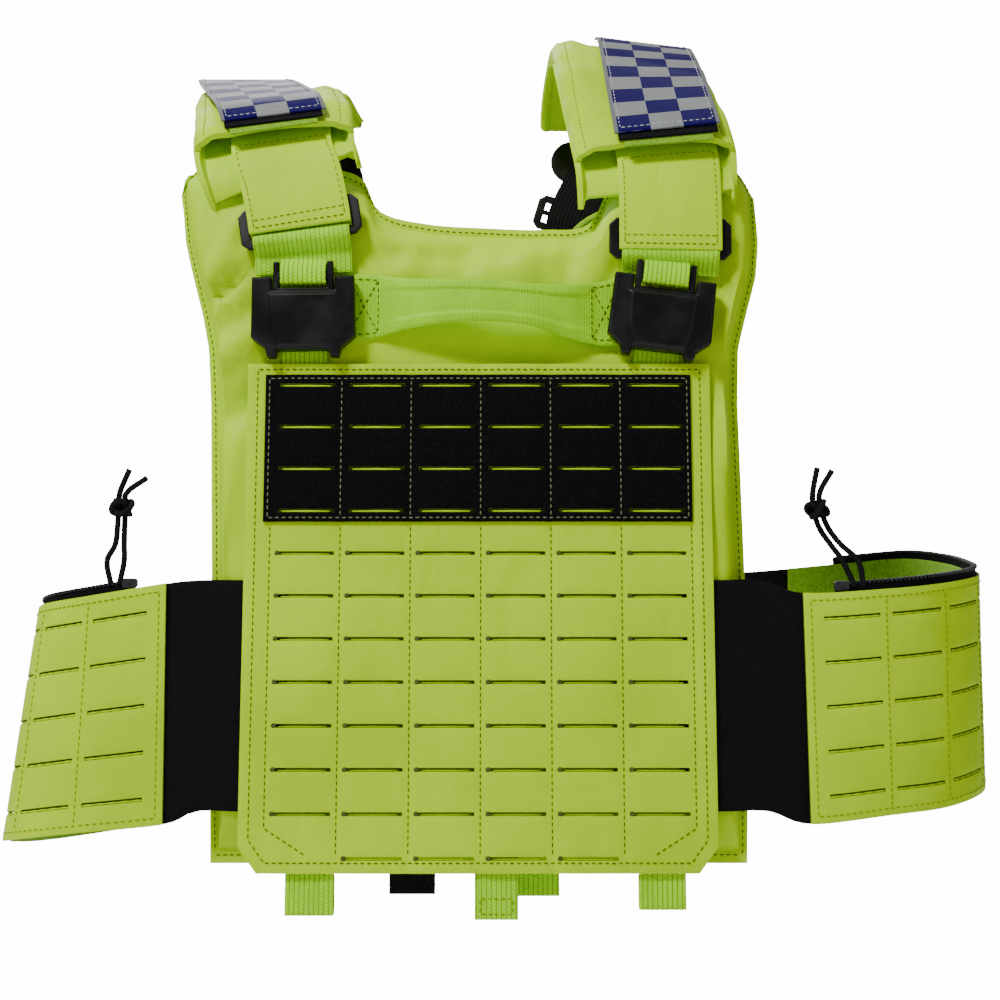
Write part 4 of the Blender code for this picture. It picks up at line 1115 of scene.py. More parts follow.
class VEST_OT_flap(bpy.types.Operator):
    """Makes the slotted front flap, its loop field, their seams and the plain back flap"""

    bl_idname = "vest.flap"
    bl_label = "Flaps"

    def execute(self, context):
        def place(x, s):
            return front_at(x, s, FLAP_OUT + flap_wave(x, s))

        skipped = ((0, ROWS - 1), (COLUMNS - 1, ROWS - 1))
        boxes = slot_boxes(ROWS, skipped)
        lines = flap_lines(FLAP_LEFT, FLAP_RIGHT, FLAP_BOTTOM, FLAP_TOP, boxes)
        cuts = []
        for x, hand in ((FLAP_LEFT + CHAMFER_WIDE, -1), (FLAP_RIGHT - CHAMFER_WIDE, 1)):
            cuts.append(((x, FLAP_BOTTOM), (hand * CHAMFER_TALL, -CHAMFER_WIDE)))
        piece = surface(
            "front_flap_cloth", *lines, place, FLAP_WALL, ["laminate", "sealed edge"], "yellow_laminate",
            ["front_flap"], boxes, cuts,
        )
        self.loop_field()
        self.seams(place)
        shown = [box for box in boxes if box[2] < LOOP_BOTTOM]
        self.slot_ends(place, shown)
        slot_lips("front_flap_slot_lips", place, shown, 0.9)
        self.back_flap()
        return {"FINISHED"}

    def loop_field(self):
        def place(x, s):
            return front_at(x, s, LOOP_FIELD_OUT + flap_wave(x, s))

        boxes = slot_boxes(LOOP_ROWS)
        lines = flap_lines(LOOP_LEFT, LOOP_RIGHT, LOOP_BOTTOM, LOOP_TOP, boxes)
        piece = surface(
            "loop_field_cloth", *lines, place, LOOP_FIELD_WALL, ["loop"], "black_loop", ["loop_field"], boxes,
        )
        slot_lips("loop_field_slot_lips", place, boxes, 0.4)
        inset = 2.2
        corners = box_corners(LOOP_LEFT + inset, LOOP_RIGHT - inset, LOOP_BOTTOM + inset, LOOP_TOP - inset)
        columns = [FIRST_COLUMN + k * COLUMN for k in range(1, COLUMNS)]
        rows = [((x, LOOP_BOTTOM + 3), (x, LOOP_TOP - 3)) for x in columns]
        add_seams("loop_field_stitches", "pale thread", place, [corners], rows)

    def seams(self, place):
        """A seam round the flap, one along each column, and one across each lower corner."""
        inset, top, corner_top = 5.5, LOOP_BOTTOM - 2, 18
        left, right = FLAP_LEFT + inset, FLAP_RIGHT - inset
        low, high = FLAP_BOTTOM + inset, FLAP_TOP - 3.2
        wide, tall = CHAMFER_WIDE - 1.5, CHAMFER_TALL - 2
        corners = [
            (left + wide, low), (right - wide, low), (right, low + tall),
            (right, high), (left, high), (left, low + tall),
        ]
        columns = [FIRST_COLUMN + k * COLUMN for k in range(COLUMNS + 1)]
        rows = [((x, low + 4), (x, top)) for x in columns[1:-1]]
        for x, hand in ((columns[0], 1), (columns[-1], -1)):
            rows.append(((x, low + corner_top), (x, top)))
            rows.append(((x, low + corner_top), (x + hand * 22, low + 4)))
        add_seams("front_flap_stitches", "olive thread", place, [corners], rows)

    def slot_ends(self, place, boxes):
        """Dark pierce marks at the ends of the slots, where the cut starts."""
        form = bmesh.new()
        size = Matrix.Diagonal((1.5 * MM, 0.35 * MM, 1.5 * MM, 1))
        ends = [place(left + 0.2, (low + high) / 2) for left, _, low, high in boxes]
        add_beads(form, [Matrix.Translation(metres(end)) @ size for end in ends], 8)
        add_form("slot_pierce_marks", form, "pierce mark")

    def back_flap(self):
        def place(x, s):
            return back_at(-x, s, FLAP_OUT + flap_wave(x, s))

        low = BACK_FLAP_BOTTOM
        lines = fill_lines([-FLAP_RIGHT, -FLAP_LEFT], 6), fill_lines([low, FLAP_TOP], 6)
        piece = surface(
            "back_flap_cloth", *lines, place, FLAP_WALL, ["laminate"], "yellow_laminate", ["back_flap"],
        )
        corners = box_corners(-FLAP_RIGHT + 5, -FLAP_LEFT - 5, low + 5, FLAP_TOP - 4)
        add_seams("back_flap_stitches", "olive thread", place, [corners])


# Webbing


def rib_lift(u, wide):
    """How far the ribs of webbing stand up at u across it, with its edges rounded down."""
    rib = sizes().rib / MM
    share = (u + wide / 2) / rib
    round_off = max(0.0, 1 - (wide / 2 - abs(u)) / EDGE_ROUND)
    return sizes().rib_height / MM * abs(math.sin(math.pi * share)) - 0.5 * round_off**2


def rib_lines(wide):
    """Grid lines across webbing: four for each rib."""
    count = max(1, round(wide / (sizes().rib / MM)))
    return [wide * (k / (4 * count) - 0.5) for k in range(4 * count + 1)]


class VEST_OT_handle(bpy.types.Operator):
    """Makes the carrying handle of webbing across the chest"""

    bl_idname = "vest.handle"
    bl_label = "Handle"

    def execute(self, context):
        fine = smooth_line(HANDLE, 12)
        along = lengths_along(fine[:, [0, 3]])
        length, half = float(along[-1]), HANDLE_WIDE / 2
        lowest = FACE_OUT + GAP + WEBBING_WALL

        def place(v, u):
            x, low, high, out = (float(np.interp(v, along, column)) for column in fine.T)
            share = 0.5 + u / HANDLE_WIDE
            free = min(1.0, max(0.0, out / 4))
            crown = HANDLE_CROWN * (1 - (2 * share - 1) ** 2) * free
            for aside in (share - HANDLE_FOLD, 1 - HANDLE_FOLD - share):
                crown += HANDLE_FOLD_RISE * free / (1 + math.exp(aside / HANDLE_FOLD_END))
            crown -= 0.8 * max(0.0, 1 - (half - abs(u)) / EDGE_ROUND) ** 2
            return front_at(x, low + (high - low) * share, lowest + max(0.0, out) + crown)

        surface(
            "grab_handle_webbing", fill_lines([0, length], 2.0), fill_lines([-half, half], 0.9), place,
            WEBBING_WALL, ["handle webbing"], "yellow_webbing", ["grab_handle"],
        )
        rings = [box_corners(start, end, -15, 15) for start, end in ((2, 18), (length - 17, length - 2))]
        rows = [pair for ring in rings for pair in ((ring[0], ring[2]), (ring[3], ring[1]))]
        add_seams("grab_handle_stitches", "olive thread", place, rings, rows)
        return {"FINISHED"}


def turn_weave(piece):
    """Swaps the two directions of the weave's map, so that the ribs run along the piece."""
    for item in piece.data.uv_layers["weave"].data:
        item.uv = (item.uv[1], item.uv[0])


def upright_strap(name, wide, centre, path, label, slot, seams=()):
    """A narrow strap that follows s and out on the front panel."""
    fine = smooth_line(path, 6) if len(path) > 2 else np.array(path, float)
    along = lengths_along(fine)

    def spot(v):
        return Vector([float(np.interp(v, along, column)) for column in fine.T])

    def place(u, v):
        s, out = spot(v)
        run = (spot(min(v + 0.4, along[-1])) - spot(max(v - 0.4, 0))).normalized()
        lift = rib_lift(u, wide)
        return front_at(centre + u, s - run.y * lift, out + run.x * lift)

    lines = rib_lines(wide), fill_lines([0, float(along[-1])], 1.5)
    surface(name + "_webbing", *lines, place, WEBBING_WALL, [label], slot, [name])
    if seams:
        rings = [box_corners(-wide / 2 + 3, wide / 2 - 3, low, high) for low, high in seams]
        add_seams(name + "_webbing_stitches", "yellow thread", place, rings)


class VEST_OT_bottom(bpy.types.Operator):
    """Makes the webbing loops, the centre strap and the pocket tabs at the bottom edge"""

    bl_idname = "vest.bottom"
    bl_label = "Bottom pieces"

    def execute(self, context):
        front = FLAP_OUT - FLAP_WALL - GAP
        for name, (x, wide, low) in BOTTOM_LOOPS.items():
            foot, behind = low + LOOP_FOOT, front - 2 * LOOP_FOLD
            path = [(LOOP_BACK_TOP, behind), (foot, behind)]
            for angle in (135, 90, 45):
                turn = math.radians(angle)
                out = front - LOOP_FOLD + LOOP_FOLD * math.cos(turn)
                path.append((foot - LOOP_FOLD_TALL * math.sin(turn), out))
            path += [(foot, front), (STRAP_TOP, front)]
            upright_strap(name, wide, x, path, "webbing", "yellow_webbing")
        x, wide, low = CENTRE_STRAP
        path = [(low, front - 1.0), (CENTRE_KNEE, front), (STRAP_TOP, front)]
        upright_strap("centre_strap", wide, x, path, "webbing", "yellow_webbing", [(3, 11)])
        behind = LINING_OUT - LINING_WALL - GAP
        for name, (x, wide, low), label, slot in (
            ("pocket_tab_black", BLACK_TAB, "black webbing", "black_webbing"),
            ("pocket_tab_yellow", YELLOW_TAB, "webbing", "yellow_laminate"),
        ):
            upright_strap(name, wide, x, [(low, behind), (TAB_TOP, behind)], label, slot)
        return {"FINISHED"}


# Buckles


class VEST_OT_buckles(bpy.types.Operator):
    """Finishes the side-release buckles and makes the narrow webbing that they join"""

    bl_idname = "vest.buckles"
    bl_label = "Buckles"

    def execute(self, context):
        base = FACE_OUT + GAP + WEBBING_WALL + GAP
        middle = base + SOCKET_WALL / 2
        over = PLUG_WALL / 2 + GAP + WEBBING_WALL
        for side in BUCKLES:
            for part in ("socket", "plug"):
                node_finish(f"buckle_{part}_{side}", "plastic", 0.5)
            self.shield(side, base + SOCKET_WALL)
            rise = ((BAR_FOOT, middle - WEBBING_WALL / 2), (BAR_FOOT, middle + over - 0.6), (19, middle + over))
            path = (*rise, (22.5, middle + over), (26, middle + over - 1), (31, base + 3.6))
            self.strip(f"buckle_strap_upper_{side}", side, path)
            low = FACE_OUT + GAP + WEBBING_WALL
            self.strip(f"buckle_strap_lower_{side}", side, ((FLAP_TOP - 8 - BUCKLES[side][1], low), (-18, low)))
        return {"FINISHED"}

    def shield(self, side, front):
        """The raised middle of the socket, with sloping edges."""
        x, s, turn = BUCKLES[side]
        upright = Euler((math.radians(90), 0, 0)).to_matrix().to_4x4()
        place = FRONT_MATRIX @ Matrix.Translation((x, -front + 0.2, s)) @ upright
        place = place @ Matrix.Rotation(math.radians(turn), 4, "Z")
        form = bmesh.new()
        ring = [form.verts.new((px, ps, 0)) for px, ps in SHIELD_OUTLINE]
        made = bmesh.ops.extrude_face_region(form, geom=[form.faces.new(ring)])
        for corner in made["geom"]:
            if isinstance(corner, bmesh.types.BMVert):
                corner.co.x *= 1 - SHIELD_SLOPE
                corner.co.y = corner.co.y * (1 - SHIELD_SLOPE) - SHIELD_DROP
                corner.co.z = SHIELD_TALL
        bmesh.ops.recalc_face_normals(form, faces=form.faces)
        bmesh.ops.transform(form, matrix=Matrix.Scale(MM, 4) @ place, verts=form.verts)
        soften(add_piece("buckle_shield_" + side, form, ["plastic"], "black_plastic"), 0.5, 30)

    def strip(self, name, side, path):
        x, s, turn = BUCKLES[side]
        slide, hold = math.sin(math.radians(turn)), math.cos(math.radians(turn))
        fine = np.array(path, float)
        along = lengths_along(fine)

        def place(u, v):
            run, out = (float(np.interp(v, along, column)) for column in fine.T)
            out += rib_lift(u, NARROW_WIDE) * (v > 6 or len(path) == 2)
            return front_at(x + u * hold - run * slide, s + u * slide + run * hold, out)

        lines = rib_lines(NARROW_WIDE), fill_lines([float(v) for v in along], 1.5)
        surface(name + "_webbing", *lines, place, WEBBING_WALL, ["webbing"], "yellow_webbing", [name])


def node_finish(name, label, edge):
    """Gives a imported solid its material, and softens its edges."""
    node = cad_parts[name]
    node.data.materials.clear()
    node.data.materials.append(finish(label))
    node.modifiers.new("weld", "WELD").merge_threshold = 0.00001
    soften(node, edge, 35)


# Shoulders


def strap(
    name, node, route, first, last, wide, lift, wall, label, slot, aside=(0, 0), ribbed=False, crown=0.0, bar=None,
):
    """Cloth or webbing along a route, its middle lifted off the route's, and over a slider's bar."""
    length = (last - first) * STEP

    def place(u, v):
        middle, across, out = route.frame(first * STEP + v)
        shift = aside[0] + (aside[1] - aside[0]) * v / length
        rise = rib_lift(u, wide) if ribbed else crown * (1 - (2 * u / wide) ** 2)
        if bar is not None:
            rise += BAR_RISE * math.exp(-(((first * STEP + v - bar) / BAR_SPREAD) ** 4))
        return middle + across * (u + shift) + out * (lift + wall / 2 + rise)

    across = rib_lines(wide) if ribbed else fill_lines([-wide / 2, wide / 2], 3.5)
    piece = surface(name, across, fill_lines([0, length], 3.0), place, wall, [label], slot, [node])
    return piece, place, length


class VEST_OT_shoulders(bpy.types.Operator):
    """Makes the straps over the shoulders with their sleeves, patches and sliders"""

    bl_idname = "vest.shoulders"
    bl_label = "Shoulders"

    def execute(self, context):
        for side, table in (("left", LEFT_ROUTE), ("right", RIGHT_ROUTE)):
            ends = [(*back_at(BACK_STRAP_X[side], s, out), -BACK_ROLL) for s, out in BACK_STRAP_ENDS]
            route = Route((*table, *ends))
            self.straps(side, route)
            self.sleeve(side, route)
            self.patches(side, route)
            for name in (f"slider_{side}", f"rear_slider_{side}"):
                node_finish(name, "plastic", 0.35)
        node_finish("rear_ring", "plastic", 0.3)
        return {"FINISHED"}

    def straps(self, side, route):
        start, stop = STRAP_STATIONS[side]
        name = "shoulder_strap_" + side
        _, place, _ = strap(
            name + "_cloth", name, route, start, stop - 0.05, STRAP_WIDE, 0, STRAP_WALL, "laminate",
            "yellow_laminate", crown=0.3,
        )
        edge = STRAP_WIDE / 2 - 3
        rings = [box_corners(-edge, edge, 3, high) for high in (60, 8)]
        add_seams(name + "_stitches", "yellow thread", place, rings)
        name = "shoulder_webbing_" + side
        under = -STRAP_WALL / 2 - SLIDER_WALL - 3 * GAP - WEBBING_WALL / 2
        strap(
            name + "_ribbed", name, route, *WEBBING_STATIONS[side], WEBBING_WIDE, under, WEBBING_WALL, "webbing",
            "yellow_webbing", ribbed=True, bar=SLIDER_STATIONS[side][0] * STEP - SLIDER_BAR_AT,
        )
        name = "rear_strap_" + side
        strap(
            name + "_ribbed", name, route, stop, route.length / STEP, REAR_WEBBING_WIDE, 0, WEBBING_WALL,
            "black webbing", "black_webbing", ribbed=True,
        )

    def sleeve(self, side, route):
        """The padded sleeve, with a seam along each side and slack creases across it."""
        tongue, mouth, end = SLEEVE_STATIONS[side]
        around = smooth_line([*SLEEVE, SLEEVE[0]], FINER)[:-1]
        count = len(around)
        length = (end - tongue) * STEP
        cut = (mouth - tongue) * STEP
        covered = (PATCH_STATIONS[side][1] - tongue) * STEP

        def place(u, v):
            aside, lift = around[round(u) % count]
            above = min(1.0, max(0.0, (lift + 4) / 5))
            sideways = (aside / SLEEVE_HALF) ** 2
            droop = MOUTH_DROOP * above * sideways * max(0.0, 1 - max(0.0, v - cut) / DROOP_LONG)
            middle, across, out = route.frame(tongue * STEP + v - droop)
            narrow = 1 - 0.02 * max(0.0, (cut - v) / STEP)
            lowest = SLEEVE[-2][1]
            if v < cut:
                lift = lowest + (lift - lowest) * math.sin(math.pi / 2 * v / cut)
            free = min(1.0, max(0.0, (abs(aside) - 24) / 10)) if v < covered else 1.0
            creases = math.sin(v / 7.5 + aside / 12) * math.sin(v / 23 + 1 + aside / 40)
            slack = SLEEVE_SLACK * free * creases * above
            puff = SLEEVE_PUFF * free * math.sin(math.pi * min(1.0, max(0.0, v / length))) * above
            dent = SLEEVE_DENT * hill(abs(aside) - SEAM_ASIDE, 2.5) * (lift > 0)
            flare = MOUTH_FLARE * max(0.0, (cut - v) / cut) * sideways * math.sin(v / 9 + aside / 30)
            lift += slack + puff - dent + flare
            return middle + across * (aside * narrow + SLEEVE_ASIDE[side]) + out * lift

        columns = SLEEVE_TOP_COLUMNS * FINER
        name = "shoulder_pad_" + side
        piece = surface(
            name + "_cloth", list(range(count + 1)), fill_lines([0, cut, length], 3.0), place, PAD_WALL,
            ["laminate"], "yellow_laminate", [name], [(0, columns, 0, cut)], closed=True, edge=1.5,
        )
        set_round_weave(piece, around)
        form = bmesh.new()
        spots = fill_lines([cut + 2, length - 2], sizes().stitch_step / MM)
        for column in (SEAM_COLUMN, columns - SEAM_COLUMN):
            beads = []
            for a, b in zip(spots, spots[1:]):
                start, stop = Vector(place(column, a)), Vector(place(column, b))
                run = (stop - start).normalized()
                across = route.frame(tongue * STEP + a)[2].cross(run).normalized()
                beads.append(stitch_matrix((start + stop) / 2, run, across, 0.75 * (stop - start).length))
            add_beads(form, beads)
        add_form(name + "_stitches", form, "yellow thread")

    def patches(self, side, route):
        first, last = PATCH_STATIONS[side]
        lift = max(row[1] for row in SLEEVE) + 2 * GAP + 0.6
        layers = (
            ("patch_loop_", "velour", "lime_velour", 0.6, 50),
            ("patch_hook_", "hook", "black_loop", 0.3, PATCH_WIDE - 4),
            ("check_patch_", "checks", "check_film", 0.0, PATCH_WIDE),
        )
        for label, cloth, slot, ahead, wide in layers:
            name = label + side
            piece, place, length = strap(
                name + "_layer", name, route, first - ahead, last, wide, lift + PATCH_WALL / 2, PATCH_WALL,
                cloth, slot, PATCH_ASIDE[side],
            )
            lift += PATCH_WALL + GAP
        corners = box_corners(-wide / 2 + 3.6, wide / 2 - 3.6, 3.6, length - 3.6)
        add_seams(name + "_stitches", "white thread", place, [corners])


def set_round_weave(piece, around):
    """Turns the weave's map of a sleeve from columns to millimetres round it."""
    lengths = lengths_along(np.vstack((around, around[:1])))
    for item in piece.data.uv_layers["weave"].data:
        item.uv = (float(np.interp(item.uv[0], range(len(lengths)), lengths)), item.uv[1])


# Side bands


def under_bag(x, panel_at, heights):
    """The top and bottom edge of a band at x, where it lies on a bag's face."""
    out = FACE_OUT + GAP + ELASTIC_WALL / 2
    return tuple(number for s in heights for number in panel_at(x, s, out))


def side_ring(side):
    """The ring of a side band, and the lengths along it where its table starts and ends."""
    hand, table = (-1, LEFT_RING) if side == "left" else (1, RIGHT_RING)
    before = [under_bag(hand * x, front_at, FRONT_BAND_S) for x in RING_UNDER]
    after = [under_bag(hand * x, back_at, BACK_BAND_S) for x in reversed(RING_UNDER)]
    ring = Ring((*before, *table, *after), hand)
    first = len(before)
    return ring, ring.row_length(first), ring.row_length(first + len(table) - 1)


class VEST_OT_side_bands(bpy.types.Operator):
    """Makes the side bands: elastics, slotted panels, linings and zips"""

    bl_idname = "vest.side_bands"
    bl_label = "Side bands"

    def execute(self, context):
        for side in ("left", "right"):
            self.band(side)
        return {"FINISHED"}

    def layer(self, node, kind, ring, stations, shares, out, wall, labels, slot, holes=(), wave=0.0):
        """A layer of the band. Its u is the length along the ring, its v the height in millimetres."""
        hand = ring.side

        def place(u, v):
            length, share = hand * u, v / BAND_TALL
            ripple = wave * math.sin(length / 19 + 1.3 * share) * math.sin(4 * share + length / 47)
            return ring.at(length, min(1.0, max(0.0, share)), out + ripple)

        us = sorted(hand * s for s in stations)
        vs = [BAND_TALL * share for share in shares]
        return surface(node + kind, us, vs, place, wall, labels, slot, [node], holes), place

    def band(self, side):
        ring, start, end = side_ring(side)
        hand, half_slot = ring.side, BAND_SLOT_SHARE / 2
        first_slot, plain = start + BAND_FIRST_SLOT, end - BAND_FIRST_SLOT
        firsts = [first_slot + k * COLUMN for k in range(BAND_COLUMNS)]
        middles = [BAND_LOW_SHARE + j * BAND_ROW_SHARE for j in range(BAND_ROWS)]
        heights = [(middle - half_slot, middle + half_slot) for middle in middles]
        slots = [
            (*sorted((hand * a, hand * (a + SLOT_LONG))), BAND_TALL * low, BAND_TALL * high)
            for a in firsts for low, high in heights
        ]
        keys = sorted({start, end, *firsts, *(a + SLOT_LONG for a in firsts)})
        shares = sorted({0.0, 1.0, *(share for pair in heights for share in pair)})
        node = "side_panel_" + side
        panel, place = self.layer(
            node, "_cloth", ring, fill_lines(keys, 5.0), fill_lines(shares, 0.045),
            ELASTIC_WALL / 2 + BAND_GAP + PANEL_WALL, PANEL_WALL, ["laminate", "sealed edge"], "yellow_laminate",
            slots, 0.25,
        )
        slot_lips(node + "_slot_lips", place, slots, 0.8, 5)
        corners = box_corners(*sorted((hand * (start + 4), hand * (end - 4))), 4, BAND_TALL - 4)
        seams = [hand * (a + SLOT_LONG + SLOT_INSET / 2 + 1.5) for a in firsts]
        rows = [((u, 5), (u, BAND_TALL - 5)) for u in seams]
        add_seams(node + "_stitches", "yellow thread", place, [corners], rows)
        liner, _ = self.layer(
            "side_lining_" + side, "_velour", ring, fill_lines([start, end], 5.0), fill_lines([0, 1], 0.05),
            -ELASTIC_WALL / 2 - BAND_GAP, LINER_WALL, ["velour"], "lime_velour", wave=0.2,
        )
        self.elastic("front", side, ring, [0.0, first_slot])
        self.elastic("back", side, ring, [plain, ring.length])
        self.zip_tape(side, ring, first_slot + SLOT_LONG / 2 - PULLER_LONG, plain - 20)

    def elastic(self, which, side, ring, ends):
        piece, _ = self.layer(
            f"{which}_elastic_{side}", "_ribbed", ring, fill_lines(ends, 4.0), fill_lines([0, 1], 0.04),
            ELASTIC_WALL / 2, ELASTIC_WALL, ["elastic"], "black_webbing",
        )
        turn_weave(piece)

    def zip_tape(self, side, ring, first, last):
        """The tape between panel and lining, rolled over the top edge, with its row of teeth."""
        hand = ring.side

        def place(u, v):
            return ring.at(hand * u, 1, TAPE_WALL / 2, v)

        us = sorted(hand * s for s in fill_lines([first, last], 4.0))
        vs = fill_lines([-TAPE_UNDER, TAPE_OVER], 1.4)
        node = "zip_tape_" + side
        surface(node + "_cloth", us, vs, place, TAPE_WALL, ["elastic"], "black_webbing", [node])
        form = bmesh.new()
        step = sizes().tooth_step / MM
        size = Matrix.Diagonal((*metres(TOOTH), 1))
        for k in range(int((last - first - 2 * ROW_END) / step)):
            length = first + ROW_END + (k + 0.5) * step
            foot, ahead = (ring.at(at, 1, 0, TAPE_OVER - TOOTH_SUNK) for at in (length, length + 1))
            run = (ahead - foot).normalized()
            up = (ring.at(length, 1, 0, TAPE_OVER) - foot).normalized()
            turn = Matrix((run, up.cross(run).normalized(), up)).transposed().to_4x4()
            bmesh.ops.create_cube(form, size=1, matrix=Matrix.Translation(foot * MM) @ turn @ size)
        bmesh.ops.bevel(
            form, geom=form.edges[:], offset=TOOTH_EDGE * MM, affect="EDGES", segments=1, profile=0.5, material=-1,
        )
        add_form("zip_teeth_" + side, form, "metal")


# Zip pulls


class VEST_OT_zip_pulls(bpy.types.Operator):
    """Makes the zip pullers' knotted pairs of cords"""

    bl_idname = "vest.zip_pulls"
    bl_label = "Zip pulls"

    def execute(self, context):
        for side, rows in (("left", LEFT_CORD), ("right", RIGHT_CORD)):
            ring, start, _ = side_ring(side)
            foot = ring.at(start + BAND_FIRST_SLOT + SLOT_LONG / 2 - PULLER_LONG / 2 - 2 * GAP, 1, 0)
            node_finish("zip_puller_" + side, "metal", 0.3)
            knot = self.knot(side, rows, foot.y)
            tails = CORD_TAILS[side]
            lowest = foot.z + PULLER_TALL + GAP * 4 - CORD_SEAT
            for k, (label, hand) in enumerate((("inner", -1), ("outer", 1))):
                line = [(x + hand * apart, foot.y, z) for x, z, apart in rows]
                line[0] = (*line[0][:2], lowest)
                line.append((tails[2 * k], foot.y, tails[2 * k + 1]))
                self.cord(f"zip_cord_{label}_{side}", line, [] if k else [knot])
        return {"FINISHED"}

    def curve(self, name, points, thick):
        """A round curve through points in millimetres."""
        curve = bpy.data.curves.new(name, "CURVE")
        curve.dimensions = "3D"
        curve.bevel_depth = thick / 2 * MM
        curve.bevel_resolution = 3
        spline = curve.splines.new("POLY")
        spline.points.add(len(points) - 1)
        for spot, point in zip(spline.points, points):
            spot.co = (*metres(point), 1)
        return add_object(name, curve)

    def cord(self, node, line, carried):
        route = Route([(*point, 0) for point in line])
        last = 4 * CORD_POINTS - 1
        points = [route.row(route.length * k / last)[:3] for k in range(last + 1)]
        piece = self.curve(node + "_braid", points, CORD)
        piece.data.use_fill_caps = True
        piece.data.materials.append(finish("cord"))
        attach(piece, "root")
        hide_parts(node)
        metres(line[0])

    def knot(self, side, rows, y):
        """An overhand knot pulled tight round both strands: one cord that passes round them twice."""
        (before_x, before_z, _), (x, z, _), (after_x, after_z, _) = rows[KNOT_ROW - 1 : KNOT_ROW + 2]
        run = Vector((after_x - before_x, 0, after_z - before_z))
        tip = Matrix.Translation((x, y, z)) @ run.to_track_quat("Z", "Y").to_matrix().to_4x4()
        points = []
        for k in range(KNOT_POINTS):
            turn = 2 * math.pi * k / KNOT_POINTS
            wide = KNOT_WIDE + KNOT_WAVE * math.cos(3 * turn)
            spot = (wide * math.cos(2 * turn), wide * math.sin(2 * turn), KNOT_RISE * math.sin(3 * turn))
            points.append(tip @ Vector(spot))
        loose = self.curve("knot_line", points, CORD * 0.95)
        loose.data.splines[0].use_cyclic_u = True
        reader = bpy.context.evaluated_depsgraph_get()
        mesh = bpy.data.meshes.new_from_object(loose.evaluated_get(reader))
        bpy.data.objects.remove(loose)
        form = bmesh.new()
        form.from_mesh(mesh)
        return add_form(f"zip_knot_{side}_cord", form, "cord", "black_cord", [f"zip_knot_{side}"])


# Stage


CAMERA_PLACE, CAMERA_LENS = (0.0094, -0.950, -0.238), 56.15
PAPER_LOW, PAPER_NEAR, PAPER_FAR, PAPER_HIGH, PAPER_BEND, PAPER_HALF = -0.56, -3.0, 2.2, 3.5, 0.8, 4.0
PAPER_GLOW = 14.0  # how bright the paper looks to the camera alone
AROUND_LIGHT = 0.16
AIM = Vector((0, 0, -0.2))
# Lights: name, place, size, power
LIGHTS = (
    ("key", (-0.95, -1.0, 1.7), 0.5, 54),
    ("fill", (1.6, -1.6, 0.3), 1.4, 5),
    ("top", (0.2, 0.5, 1.6), 1.2, 5),
    ("back", (-0.6, 1.7, 1.0), 1.2, 14),
)


def camera_glow(tree, else_light):
    """A strength that is bright to the camera alone."""
    seen = put(tree, "ShaderNodeLightPath").outputs["Is Camera Ray"]
    return calc(tree, "MULTIPLY_ADD", seen, PAPER_GLOW, else_light)


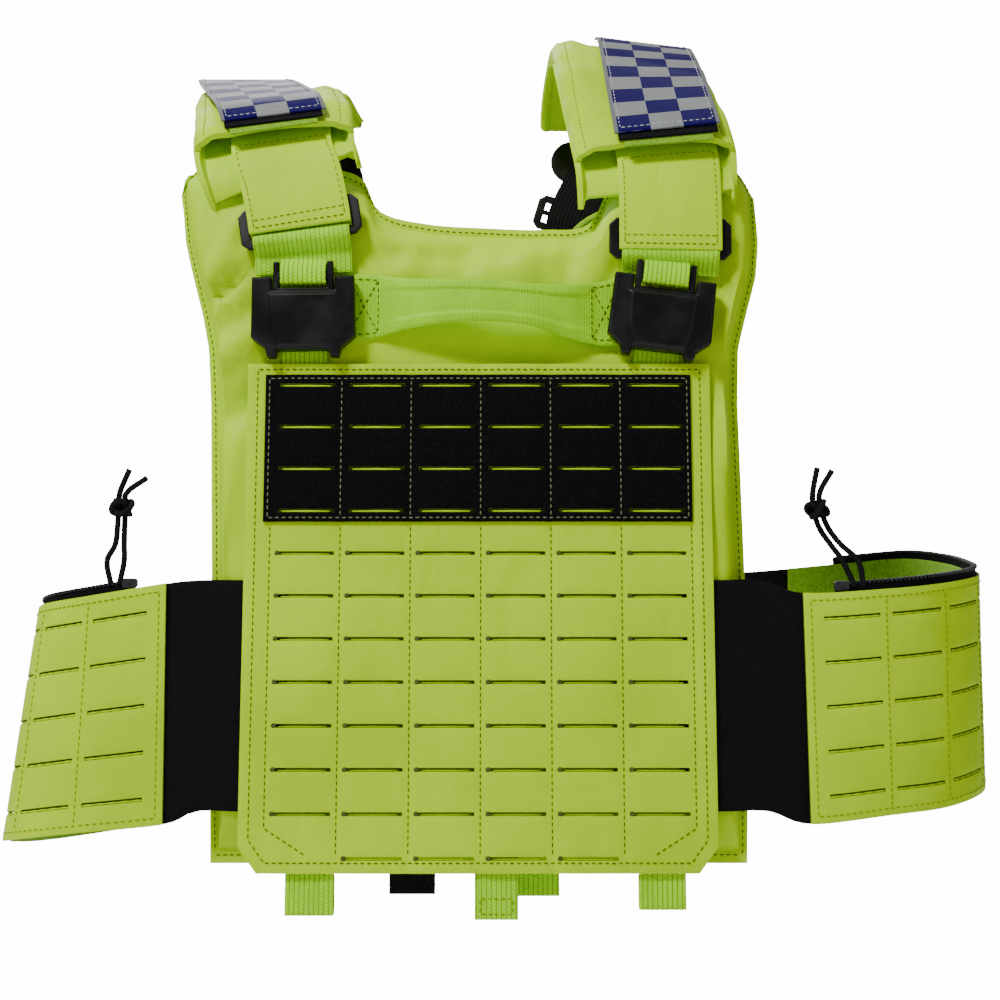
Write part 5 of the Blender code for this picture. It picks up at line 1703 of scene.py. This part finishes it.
class VEST_OT_stage(bpy.types.Operator):
    """Makes the pale floor, the soft lights and the camera"""

    bl_idname = "vest.stage"
    bl_label = "Stage"

    def execute(self, context):
        self.backdrop()
        self.lights()
        data = bpy.data.cameras.new("camera")
        data.sensor_width = 36
        data.lens = CAMERA_LENS
        camera = add_object("camera", data)
        camera.location = CAMERA_PLACE
        camera.rotation_euler = (math.radians(90), 0, 0)
        bpy.context.scene.camera = camera
        return {"FINISHED"}

    def backdrop(self):
        """A sheet of paper that runs from the floor up behind the vest."""
        form = bmesh.new()
        profile = [(PAPER_NEAR, PAPER_LOW), (PAPER_FAR - PAPER_BEND, PAPER_LOW)]
        for k in range(1, 13):
            angle = math.pi / 2 * k / 12
            along, up = PAPER_BEND * math.sin(angle), PAPER_BEND * (1 - math.cos(angle))
            profile.append((PAPER_FAR - PAPER_BEND + along, PAPER_LOW + up))
        profile.append((PAPER_FAR, PAPER_HIGH))
        corners = [form.verts.new((-PAPER_HALF, y, z)) for y, z in profile]
        edges = [form.edges.new(pair) for pair in zip(corners, corners[1:])]
        swept = bmesh.ops.extrude_edge_only(form, edges=edges)
        moved = [item for item in swept["geom"] if isinstance(item, bmesh.types.BMVert)]
        bmesh.ops.translate(form, verts=moved, vec=(2 * PAPER_HALF, 0, 0))
        bmesh.ops.recalc_face_normals(form, faces=form.faces)
        smooth(form)
        floor = add_object("floor", mesh_of("floor", form))
        made, tree, shader, _ = start_material("Paper floor", Roughness=0.9, Emission_Color=(1, 1, 1, 1))
        link(tree, camera_glow(tree, 0.0), shader.inputs["Emission Strength"])
        grain = put(tree, "ShaderNodeTexNoise", {"Scale": 4.0}).outputs["Fac"]
        tone = blend(tree, grain, full((0.93,) * 3), full((0.97,) * 3))
        link(tree, tone, shader.inputs["Base Color"])
        floor.data.materials.append(made)
        return floor

    def lights(self):
        world = bpy.context.scene.world or bpy.data.worlds.new("World")
        bpy.context.scene.world = world
        world.use_nodes = True
        background = world.node_tree.nodes["Background"]
        background.inputs["Color"].default_value = (1, 1, 1, 1)
        link(world.node_tree, camera_glow(world.node_tree, AROUND_LIGHT), background.inputs["Strength"])
        for name, place, size, power in LIGHTS:
            data = bpy.data.lights.new(name, "AREA")
            data.size = size
            data.energy = power
            lamp = add_object(name, data)
            lamp.location = place
            lamp.rotation_euler = (AIM - Vector(place)).to_track_quat("-Z", "Y").to_euler()


class VEST_PT_panel(bpy.types.Panel):
    """Lists the vest's pieces, colours and sizes."""

    bl_idname = "VEST_PT_panel"
    bl_label = "Tactical vest"
    bl_space_type = "VIEW_3D"
    bl_region_type = "UI"
    bl_category = "Vest"

    def draw(self, context):
        for operator in OPERATORS:
            self.layout.operator(operator.bl_idname)
        for group_of in (context.scene.vest_colours, context.scene.vest_sizes):
            for name in group_of.bl_rna.properties.keys():
                if name not in ("rna_type", "name"):
                    self.layout.prop(group_of, name)


OPERATORS = (
    VEST_OT_stage,
    VEST_OT_zip_pulls,
    VEST_OT_bags,
    VEST_OT_flap,
    VEST_OT_handle,
    VEST_OT_buckles,
    VEST_OT_shoulders,
    VEST_OT_side_bands,
    VEST_OT_bottom,
)


def register():
    for item in (VestColours, VestSizes, *OPERATORS, VEST_PT_panel):
        bpy.utils.register_class(item)
    bpy.types.Scene.vest_colours = bpy.props.PointerProperty(type=VestColours)
    bpy.types.Scene.vest_sizes = bpy.props.PointerProperty(type=VestSizes)


def unregister():
    del bpy.types.Scene.vest_colours
    del bpy.types.Scene.vest_sizes
    for item in (VEST_PT_panel, *OPERATORS, VestSizes, VestColours):
        bpy.utils.unregister_class(item)


def main():
    register()
    bpy.ops.vest.stage()
    bpy.ops.vest.zip_pulls()
    bpy.ops.vest.bags()
    bpy.ops.vest.flap()
    bpy.ops.vest.handle()
    bpy.ops.vest.buckles()
    bpy.ops.vest.shoulders()
    bpy.ops.vest.side_bands()
    bpy.ops.vest.bottom()


if __name__ == "__main__":
    main()
